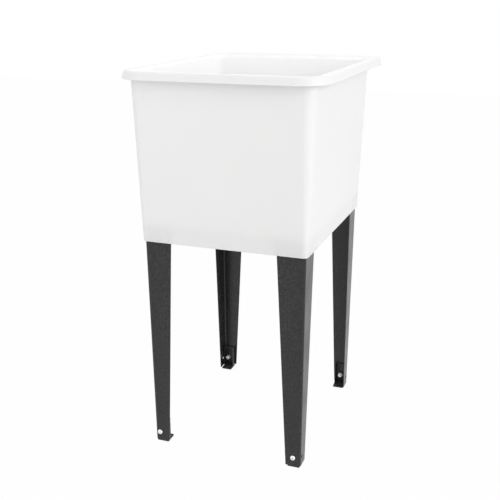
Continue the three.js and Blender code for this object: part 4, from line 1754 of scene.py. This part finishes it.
@dataclass
class FootFasteners:
    """The feet's pan-head screws, flat washers and hexagon nuts."""

    material: Material
    shank: float = 3 * MM
    head: float = 6 * MM
    head_height: float = 3.6 * MM
    head_flat: float = 3.1 * MM
    head_edge: float = 0.9 * MM
    dome_steps: int = 10
    tip_length: float = 1 * MM
    tip_taper: float = 0.8 * MM
    screw_edge: float = 0.14 * MM
    recess_span: float = 6 * MM
    recess_width: float = 1.4 * MM
    recess_depth: float = 1.8 * MM
    recess_top: float = 1.12
    recess_floor: float = 0.62
    recess_even: float = 0.4
    pitch: float = 1 * MM
    thread_ridge: float = 0.28 * MM
    thread_lead: float = 0.6 * MM
    thread_end: float = 1.2 * MM
    bore: float = 3.3 * MM
    bore_flare: float = 0.5 * MM
    nut_sides: int = 6
    nut_cone: float = 0.9 * MM
    nut_clearance: float = 0.1 * MM
    nut_edge: float = 0.12 * MM
    washer_edge: float = 0.2 * MM
    steps: int = 48

    def recess(self, place: Matrix) -> Object:
        """Make the cross that is cut in the head, narrower at its floor.

        Args:
            place: The screw's matrix.

        Returns:
            The cutter.
        """
        bars = []
        for turn in (0.0, QUARTER_TURN):
            rings = []
            for z, share in ((-OVERRUN, self.recess_top), (self.recess_depth, self.recess_floor)):
                half_x = share * self.recess_span / 2
                width = (self.recess_even + (1 - self.recess_even) * share) * self.recess_width
                rings.append([Vector((x, y, z)) for x, y in rectangle(half_x, width / 2)])
            bar = loft("bar", rings)
            bar.data.transform(place @ Matrix.Rotation(turn, 4, "Z"))
            bars.append(bar)
        return combine(bars[0], bars[1], "UNION")

    def screw(self, corner: Corner) -> Object:
        """Make one screw: a domed head, its cross, and a threaded shank.

        Args:
            corner: Which leg's.

        Returns:
            The screw's object.
        """
        node = f"foot_screw_{corner.tag}"
        place = inward_axis(node, corner)
        length = Span.of(node).size.y
        core = self.shank - self.thread_ridge
        rise = self.head_height - self.head_edge
        dome = [
            (self.head_flat + (self.head - self.head_flat) * math.sin(a), rise * (1 - math.cos(a)))
            for a in quarter_angles(self.dome_steps)
        ]
        profile = [
            (0.0, 0.0), *dome, (self.head, self.head_height), (core, self.head_height),
            (core, length - self.tip_length), (core - self.tip_taper, length), (0.0, length),
        ]
        body = lathe(f"pan_{node}", profile, self.steps, matrix=place)
        body = softened(combine(body, self.recess(place), "DIFFERENCE"), self.screw_edge)
        lead = self.head_height + self.thread_lead
        thread = helical_thread(
            "foot_screw_thread", core, self.pitch, length - self.thread_end - lead,
            self.thread_ridge, self.material, place @ Matrix.Translation((0.0, 0.0, lead)),
        )
        return joined(f"pan_{node}", [body, thread])

    def washer(self, corner: Corner) -> Object:
        """Make one flat washer.

        Args:
            corner: Which leg's.

        Returns:
            The washer's object.
        """
        node = f"foot_washer_{corner.tag}"
        span = Span.of(node)
        profile = ring_profile(self.bore, span.size.x / 2, 0.0, span.size.y)
        body = lathe(f"flat_{node}", profile, self.steps, True, inward_axis(node, corner))
        return softened(body, self.washer_edge)

    def nut(self, corner: Corner) -> Object:
        """Make one hexagon nut with chamfered corners.

        Args:
            corner: Which leg's.

        Returns:
            The nut's object.
        """
        node = f"foot_nut_{corner.tag}"
        span = Span.of(node)
        place = inward_axis(node, corner)
        radius = max(span.size.x, span.size.z) / 2
        flat = radius * math.cos(HALF_TURN / self.nut_sides)
        height = span.size.y
        start = 0.0 if span.size.x > span.size.z else HALF_TURN / self.nut_sides
        hexagon = polygon(radius, self.nut_sides, start)
        body = prism(f"hex_{node}", hexagon, 0.0, height, place)
        wide = radius + self.nut_clearance
        barrel = [
            (0.0, 0.0), (flat, 0.0), (wide, self.nut_cone),
            (wide, height - self.nut_cone), (flat, height), (0.0, height),
        ]
        body = combine(body, lathe("barrel", barrel, self.steps, matrix=place), "INTERSECT")
        flare = self.bore_flare
        mouth = self.bore + flare
        hole = [
            (0.0, -OVERRUN), (mouth + flare, -OVERRUN), (mouth, 0.0), (self.bore, flare),
            (self.bore, height - flare), (mouth, height), (mouth + flare, height + OVERRUN),
            (0.0, height + OVERRUN),
        ]
        body = combine(body, lathe("bore", hole, self.steps, matrix=place), "DIFFERENCE")
        return softened(body, self.nut_edge)

    def build(self) -> list[Object]:
        """Make and dress the screws, washers and nuts.

        Returns:
            The fasteners.
        """
        kinds = (("foot_screw", self.screw), ("foot_washer", self.washer), ("foot_nut", self.nut))
        return [
            dressed(make(corner), self.material, Body.FRAME.value, Slot.ZINC,
                    f"{kind}_{corner.tag}")
            for corner in Corner
            for kind, make in kinds
        ]


@dataclass
class Drain:
    """The strainer drain, from its flange in the basin to the tailpiece."""

    plastic: Material
    rubber: Material
    steel: Material
    tube: float = 24 * MM
    bore: float = 19 * MM
    cup: float = 21.5 * MM
    cup_depth: float = 24 * MM
    flange_thickness: float = 3 * MM
    flange_edge: float = 1 * MM
    thread_pitch: float = 3 * MM
    thread_ridge: float = 0.5 * MM
    thread_proud: float = 0.8
    thread_start: float = 1.5 * MM
    thread_stop: float = 8 * MM
    thread_gap: float = 0.3 * MM
    cross_hub: float = 6 * MM
    cross_arm: float = 3 * MM
    cross_thickness: float = 3 * MM
    cross_arms: int = 3
    cross_edge: float = 0.35 * MM
    arm_lap: float = 1 * MM
    pilot: float = 2.3 * MM
    pilot_steps: int = 24
    lug_count: int = 8
    lug_width: float = 9 * MM
    lug_height: float = 4 * MM
    lug_lap: float = 1 * MM
    lock_edge: float = 0.7 * MM
    grid_holes: int = 8
    grid_hole: float = 3 * MM
    grid_hole_steps: int = 32
    grid_cut: float = 3.0
    grid_edge: float = 0.25 * MM
    screw_head: float = 2 * MM
    screw_shank: float = 2 * MM
    screw_tip: float = 0.5 * MM
    screw_tip_length: float = 0.6 * MM
    screw_dome: Pairs = ((1.0, 0.8 * MM), (0.85, 1.5 * MM))
    screw_flat: float = 0.55
    screw_slot_half: float = 0.5 * MM
    screw_slot_depth: float = 0.8 * MM
    screw_edge: float = 0.15 * MM
    screw_steps: int = 40
    tail: float = 19 * MM
    tail_wall: float = 1.5 * MM
    tail_flange: float = 2 * MM
    tube_edge: float = 0.4 * MM
    ring_edge: float = 0.3 * MM
    nut_lip: float = 3 * MM
    nut_flats: int = 8
    nut_edge: float = 0.8 * MM
    nut_segments: int = 3
    steps: int = 72

    def __post_init__(self) -> None:
        """Take the drain's axis and levels from the frame."""
        span = Span.of("drain_body")
        self.axis = Matrix.Translation((span.middle.x, span.middle.y, 0.0))
        self.top = span.high.z
        self.low = span.low.z
        self.flange = span.size.x / 2
        self.cup_floor = self.top - self.cup_depth
        self.collar = self.tube + self.thread_gap

    def turned(self, name: str, profile: Pairs, closed: bool = False,
               steps: int | None = None) -> Object:
        """Turn a profile about the drain's axis, in the drain's number of faces unless told."""
        return lathe(name, profile, steps or self.steps, closed, self.axis)

    def strainer_body(self) -> Object:
        """Make the flanged body with its outer thread.

        Returns:
            The body's object.
        """
        core = self.tube - 2 * self.thread_ridge * self.thread_proud
        neck = self.top - self.flange_thickness
        edge = self.flange_edge
        profile = [
            (self.bore, self.low), (core, self.low), (core, neck), (self.flange, neck),
            (self.flange, self.top - edge), (self.flange - edge, self.top),
            (self.cup + edge, self.top), (self.cup, self.top - edge), (self.cup, self.cup_floor),
            (self.bore, self.cup_floor),
        ]
        body = softened(self.turned("strainer_body", profile, True), self.tube_edge)
        start = self.low + self.thread_start
        thread = helical_thread(
            "drain_thread", core, self.thread_pitch, neck - self.thread_stop - start,
            self.thread_ridge, self.plastic, self.axis @ Matrix.Translation((0.0, 0.0, start)),
        )
        return joined("strainer_body", [body, thread])

    def cross(self) -> Object:
        """Make the ring with three arms and a hub that holds the strainer's screw.

        Returns:
            The cross's object.
        """
        span = Span.of("drain_cross")
        low, high = span.low.z, span.high.z
        arm_low = high - self.cross_thickness
        profile = ring_profile(self.bore, span.size.x / 2, arm_low, high)
        cross = self.turned("strainer_cross", profile, True)
        hub = self.turned("hub", rod_profile(self.cross_hub, low, high), steps=self.steps // 2)
        cross = combine(cross, hub, "UNION")
        half_arm = self.cross_arm / 2
        reach = self.bore + self.arm_lap
        arm = [(0.0, -half_arm), (reach, -half_arm), (reach, half_arm), (0.0, half_arm)]
        for k in range(self.cross_arms):
            turn = self.axis @ Matrix.Rotation(FULL_TURN * k / self.cross_arms, 4, "Z")
            cross = combine(cross, prism("arm", arm, arm_low, high, turn), "UNION")
        pilot = rod_profile(self.pilot, low - OVERRUN, high + OVERRUN)
        cutter = self.turned("pilot", pilot, steps=self.pilot_steps)
        return softened(combine(cross, cutter, "DIFFERENCE"), self.cross_edge)

    def ring(self, node: str, name: str, inner: float) -> Object:
        """Make a flat ring in a node's place.

        Args:
            node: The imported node.
            name: The piece's name.
            inner: The ring's inner radius.

        Returns:
            The ring's object.
        """
        span = Span.of(node)
        profile = ring_profile(inner, span.size.x / 2, span.low.z, span.high.z)
        return softened(self.turned(name, profile, True), self.ring_edge)

    def lock_nut(self) -> Object:
        """Make the lugged clamping nut, its lugs set round it by rule.

        Returns:
            The nut's object.
        """
        span = Span.of("drain_lock_nut")
        rim = span.size.x / 2 - self.lug_height
        recipe = GeometryRecipe("lock_nut_lugs", {
            "Count": self.lug_count, "Radius": rim + self.lug_height / 2 - self.lug_lap / 2,
            "Width": self.lug_width, "Reach": self.lug_height + self.lug_lap,
            "Height": span.size.z,
        })
        graph = recipe.graph
        circle = recipe.node("GeometryNodeMeshCircle", Vertices=recipe.size("Count"),
                             Radius=recipe.size("Radius"))
        size = graph.vector(*map(recipe.size, ("Reach", "Width", "Height")))
        lug = recipe.node("GeometryNodeMeshCube", Size=size)
        step = graph.maths("DIVIDE", FULL_TURN, recipe.size("Count"))
        turn = graph.maths("MULTIPLY", recipe.node("GeometryNodeInputIndex"), step)
        place = self.axis @ Matrix.Translation((0.0, 0.0, span.middle.z))
        lugs = recipe.made(recipe.scatter(circle, lug, turn), self.plastic, place)
        profile = ring_profile(self.collar, rim, span.low.z, span.high.z)
        body = combine(self.turned("lock_nut", profile, True), lugs, "UNION")
        return softened(body, self.lock_edge, self.nut_segments)

    def grid(self) -> Object:
        """Make the strainer's pierced disc, its holes set round it by rule.

        Returns:
            The disc's object.
        """
        span = Span.of("strainer_grid")
        recipe = GeometryRecipe("strainer_grid_disc", {
            "Holes": self.grid_holes, "Pitch Radius": (self.bore + self.cross_hub) / 2,
            "Hole Radius": self.grid_hole, "Disc Radius": span.size.x / 2,
            "Thickness": span.size.z, "Centre Hole": self.pilot,
        })

        def drum(label: str, depth: NodeSocket, sides: int) -> NodeSocket:
            """A drum whose radius is a named size."""
            return recipe.node("GeometryNodeMeshCylinder", Vertices=sides,
                               Radius=recipe.size(label), Depth=depth)

        graph = recipe.graph
        depth = graph.maths("MULTIPLY", recipe.size("Thickness"), self.grid_cut)
        circle = recipe.node("GeometryNodeMeshCircle", Vertices=recipe.size("Holes"),
                             Radius=recipe.size("Pitch Radius"))
        holes = recipe.scatter(circle, drum("Hole Radius", depth, self.grid_hole_steps))
        cut = graph.add("GeometryNodeMeshBoolean", operation="DIFFERENCE")
        graph.feed(cut.inputs[0], drum("Disc Radius", recipe.size("Thickness"), self.steps))
        graph.feed(cut.inputs[1], holes)
        graph.feed(cut.inputs[1], drum("Centre Hole", depth, self.pilot_steps))
        turn = Matrix.Rotation(HALF_TURN / self.grid_holes, 4, "Z")
        place = self.axis @ Matrix.Translation((0.0, 0.0, span.middle.z)) @ turn
        return softened(recipe.made(cut.outputs[0], self.steel, place), self.grid_edge)

    def grid_screw(self) -> Object:
        """Make the screw that holds the strainer's disc.

        Returns:
            The screw's object.
        """
        span = Span.of("strainer_screw")
        low, high = span.low.z, span.high.z
        head = span.size.x / 2
        seat = high - self.screw_head
        shank = self.screw_shank
        profile = [
            (0.0, low), (shank - self.screw_tip, low), (shank, low + self.screw_tip_length),
            (shank, seat), (head, seat),
            *((head * share, seat + rise) for share, rise in self.screw_dome),
            (head * self.screw_flat, high), (0.0, high),
        ]
        body = self.turned("strainer_disc_screw", profile, steps=self.screw_steps)
        slot = prism("slot", rectangle(head, self.screw_slot_half), high - self.screw_slot_depth,
                     high + OVERRUN, self.axis)
        return softened(combine(body, slot, "DIFFERENCE"), self.screw_edge)

    def tailpiece(self) -> Object:
        """Make the flanged tail tube.

        Returns:
            The tube's object.
        """
        span = Span.of("tailpiece")
        low, high = span.low.z, span.high.z
        inner = self.tail - self.tail_wall
        flange = span.size.x / 2
        profile = [
            (inner, high), (inner, low), (self.tail, low), (self.tail, high - self.tail_flange),
            (flange, high - self.tail_flange), (flange, high),
        ]
        return softened(self.turned("tail_tube", profile, True), self.tube_edge)

    def coupling(self) -> Object:
        """Make the eight-sided nut that holds the tail tube.

        Returns:
            The nut's object.
        """
        span = Span.of("coupling_nut")
        low, high = span.low.z, span.high.z
        outline = polygon(span.size.x / 2, self.nut_flats)
        body = prism("tail_coupling_nut", outline, low, high, self.axis)
        neck = self.tail + self.thread_gap
        lip = low + self.nut_lip
        bore = [
            (0.0, low - OVERRUN), (neck, low - OVERRUN), (neck, lip), (self.collar, lip),
            (self.collar, high + OVERRUN), (0.0, high + OVERRUN),
        ]
        body = combine(body, self.turned("bore", bore), "DIFFERENCE")
        return softened(body, self.nut_edge, self.nut_segments)

    def build(self) -> list[Object]:
        """Make and dress the drain's pieces.

        Returns:
            The pieces.
        """
        collar = self.collar
        seal = self.tail - self.tail_wall
        plastic = (self.plastic, Slot.DRAIN_PLASTIC)
        rubber = (self.rubber, Slot.DRAIN_RUBBER)
        steel = (self.steel, Slot.STAINLESS)
        pieces = (
            (self.strainer_body(), plastic, "drain_body"),
            (self.cross(), plastic, "drain_cross"),
            (self.ring("drain_gasket", "flange_gasket", collar), rubber, "drain_gasket"),
            (self.ring("drain_friction_washer", "friction_washer", collar), plastic,
             "drain_friction_washer"),
            (self.lock_nut(), plastic, "drain_lock_nut"),
            (self.grid(), steel, "strainer_grid"),
            (self.grid_screw(), steel, "strainer_screw"),
            (self.ring("tailpiece_washer", "tail_washer", seal), rubber, "tailpiece_washer"),
            (self.tailpiece(), plastic, "tailpiece"),
            (self.coupling(), plastic, "coupling_nut"),
        )
        return [
            dressed(piece, material, Body.FRAME.value, slot, node)
            for piece, (material, slot), node in pieces
        ]


@dataclass
class Stopper:
    """The rubber stopper and the wire ring that lies on it."""

    rubber: Material
    steel: Material
    plug_radius: float = 21.2 * MM
    taper: float = 1.6 * MM
    flange_thickness: float = 2.5 * MM
    flange_rounding: tuple[float, float] = (0.9 * MM, 0.6 * MM)
    groove_depth: float = 0.7 * MM
    groove_shares: tuple[float, ...] = (0.72, 0.68, 0.42, 0.36)
    knob: float = 6 * MM
    knob_height: float = 12 * MM
    knob_root: tuple[float, float] = (1.5 * MM, 1.8 * MM)
    knob_crown: Pairs = ((0.96, 3 * MM), (0.85, 1 * MM), (0.55, 0.0))
    edge: float = 0.4 * MM
    edge_segments: int = 3
    eye: float = 2.5 * MM
    eye_from_top: float = 5 * MM
    eye_steps: int = 32
    ring_radius: float = 11 * MM
    ring_steps: int = 64
    wire: float = 1 * MM
    wire_sides: int = 16
    gap: float = 0.3 * MM
    steps: int = 72

    def __post_init__(self) -> None:
        """Take the stopper's axis and levels from the frame."""
        span = Span.of("stopper")
        self.axis = Matrix.Translation((span.middle.x, span.middle.y, 0.0))
        self.top = span.high.z
        self.low = span.low.z
        self.flange = span.size.x / 2
        self.flange_top = self.top - self.knob_height
        self.eye_level = self.top - self.eye_from_top

    def plug(self) -> Object:
        """Make the plug with its flange, knob and eye.

        Returns:
            The plug's object.
        """
        flange, flat, knob = self.flange, self.flange_top, self.knob
        under = flat - self.flange_thickness
        bottom = flat - self.groove_depth
        groove = zip(self.groove_shares, (flat, bottom, bottom, flat))
        profile = [
            (0.0, self.low), (self.plug_radius - self.taper, self.low), (self.plug_radius, under),
            (flange, under), (flange, flat - self.flange_rounding[1]),
            (flange - self.flange_rounding[0], flat),
            *((flange * share, level) for share, level in groove),
            (knob + self.knob_root[0], flat), (knob, flat + self.knob_root[1]),
            *((knob * share, self.top - drop) for share, drop in self.knob_crown),
            (0.0, self.top),
        ]
        body = lathe("rubber_stopper", profile, self.steps, matrix=self.axis)
        reach = 2 * self.knob
        place = self.axis @ Matrix.Translation((0.0, 0.0, self.eye_level))
        place = place @ Matrix.Rotation(QUARTER_TURN, 4, "Y")
        eye = lathe("eye", rod_profile(self.eye, -reach, reach), self.eye_steps, matrix=place)
        return softened(combine(body, eye, "DIFFERENCE"), self.edge, self.edge_segments)

    def ring(self) -> Object:
        """Make the wire ring, leaning from the eye down to the flange.

        Returns:
            The ring's object.
        """
        offset = self.ring_radius - self.eye + self.wire + self.gap
        drop = self.eye_level - self.flange_top - self.wire - self.gap
        lean = math.asin(drop / (offset + self.ring_radius))
        place = (
            self.axis
            @ Matrix.Translation((0.0, 0.0, self.eye_level))
            @ Matrix.Rotation(-lean, 4, "X")
            @ Matrix.Translation((0.0, offset, 0.0))
        )
        profile = [(self.ring_radius + x, z) for x, z in polygon(self.wire, self.wire_sides)]
        return evened(lathe("stopper_wire_ring", profile, self.ring_steps, True, place))

    def build(self) -> list[Object]:
        """Make and dress the stopper and its ring.

        Returns:
            The pieces.
        """
        return [
            dressed(self.plug(), self.rubber, Body.STOPPER.value, Slot.STOPPER, "stopper"),
            dressed(self.ring(), self.steel, Body.STOPPER.value, Slot.STAINLESS, "stopper_ring"),
        ]


# ---------------------------------------------------------------------------- studio


@dataclass(frozen=True)
class Lamp:
    """A square soft lamp that faces the sink."""

    name: str
    place: tuple[float, float, float]
    size: float
    watts: float

    def hang(self, target: Vector) -> None:
        """Put the lamp in the scene.

        Args:
            target: The point that it faces.
        """
        data = bpy.data.lights.new(self.name, "AREA")
        data.shape = "SQUARE"
        data.size = self.size
        data.energy = self.watts
        lamp = new_object(self.name, data)
        lamp.location = self.place
        lamp.rotation_mode = "QUATERNION"
        lamp.rotation_quaternion = (target - Vector(self.place)).to_track_quat("-Z", "Y")


@dataclass
class Studio:
    """The pale floor, the soft lamps and the camera at the photograph's angle."""

    camera_place: tuple[float, float, float] = (0.6084, -1.7316, 1.0103)
    yaw: float = math.radians(20.28)
    pitch: float = math.radians(-17.84)
    roll: float = math.radians(-0.15)
    focal_pixels: float = 793.5
    frame_pixels: float = 500.0
    sensor: float = 36.0
    nearest: float = 0.05
    farthest: float = 60.0
    floor_size: float = 14.0
    floor_cells: int = 8
    floor_grey: float = 0.67
    ambient: float = 0.876
    aim: tuple[float, float, float] = (0.0, 0.0, 0.55)
    lamps: tuple[Lamp, ...] = (
        Lamp("key", (3.0, -1.1, 1.6), 1.6, 35.0),
        Lamp("fill", (-1.0, -1.5, 1.0), 0.8, 3.6),
        Lamp("front", (-0.4, -2.4, 2.4), 1.2, 2.5),
    )

    def camera(self) -> None:
        """Set the camera where the photograph's perspective puts it."""
        data = bpy.data.cameras.new("studio_camera")
        data.sensor_width = self.sensor
        data.lens = self.focal_pixels / self.frame_pixels * self.sensor
        data.clip_start = self.nearest
        data.clip_end = self.farthest
        camera = new_object("studio_camera", data)
        forward = Vector((
            -math.sin(self.yaw) * math.cos(self.pitch),
            math.cos(self.yaw) * math.cos(self.pitch),
            math.sin(self.pitch),
        ))
        right = Vector((math.cos(self.yaw), math.sin(self.yaw), 0.0))
        up = right.cross(forward)
        level = right * math.cos(self.roll) + up * math.sin(self.roll)
        upright = up * math.cos(self.roll) - right * math.sin(self.roll)
        turn = Matrix((level, upright, -forward)).transposed().to_4x4()
        camera.matrix_world = Matrix.Translation(self.camera_place) @ turn
        bpy.context.scene.camera = camera

    def floor(self) -> None:
        """Lay the floor."""
        shape = bmesh.new()
        bmesh.ops.create_grid(shape, x_segments=self.floor_cells, y_segments=self.floor_cells,
                              size=self.floor_size / 2)
        floor = settled("studio_floor", shape)
        floor.data.materials.append(PaleStage("pale_floor", grey(self.floor_grey)).build())

    def world(self) -> None:
        """Light the scene evenly, and show white to the camera and to reflections."""
        world = bpy.data.worlds.new("studio_world")
        bpy.context.scene.world = world
        world.use_nodes = True
        tree = world.node_tree
        tree.nodes.clear()
        graph = Graph(tree)
        strength = graph.remap(graph.shown(), 0.0, 1.0, self.ambient, 1.0)
        sky = graph.fill(graph.add("ShaderNodeBackground"), Color=grey(1.0), Strength=strength)
        graph.fill(graph.add("ShaderNodeOutputWorld"), Surface=sky.outputs[0])

    def build(self) -> None:
        """Set up the whole studio."""
        bpy.context.scene.view_settings.view_transform = "Standard"
        self.camera()
        self.floor()
        self.world()
        for lamp in self.lamps:
            lamp.hang(Vector(self.aim))


def main() -> None:
    """Build every piece in order."""
    logging.basicConfig(level=logging.INFO, format="%(name)s: %(message)s")
    tub_span = Span.of("tub")
    centre_y = Span.of("drain_body").middle.y
    roof = tub_span.low.z + Tub.skirt_depth - Tub.floor_thickness
    # The tub's colour gets painted shade outside, on the rim's skirt and under the floor.
    wardrobe = Wardrobe(PaintedTubShade(centre_y, roof, tub_span.high.z - Tub.rim_height))
    legs = Legs(wardrobe.leg)
    Tub(wardrobe.tub).build(legs)
    legs.build()
    Feet(wardrobe.foot).build()
    FootFasteners(wardrobe.zinc).build()
    Drain(wardrobe.drain, wardrobe.gasket, wardrobe.stainless).build()
    Stopper(wardrobe.stopper, wardrobe.stainless).build()
    Studio().build()


if __name__ == "__main__":
    main()
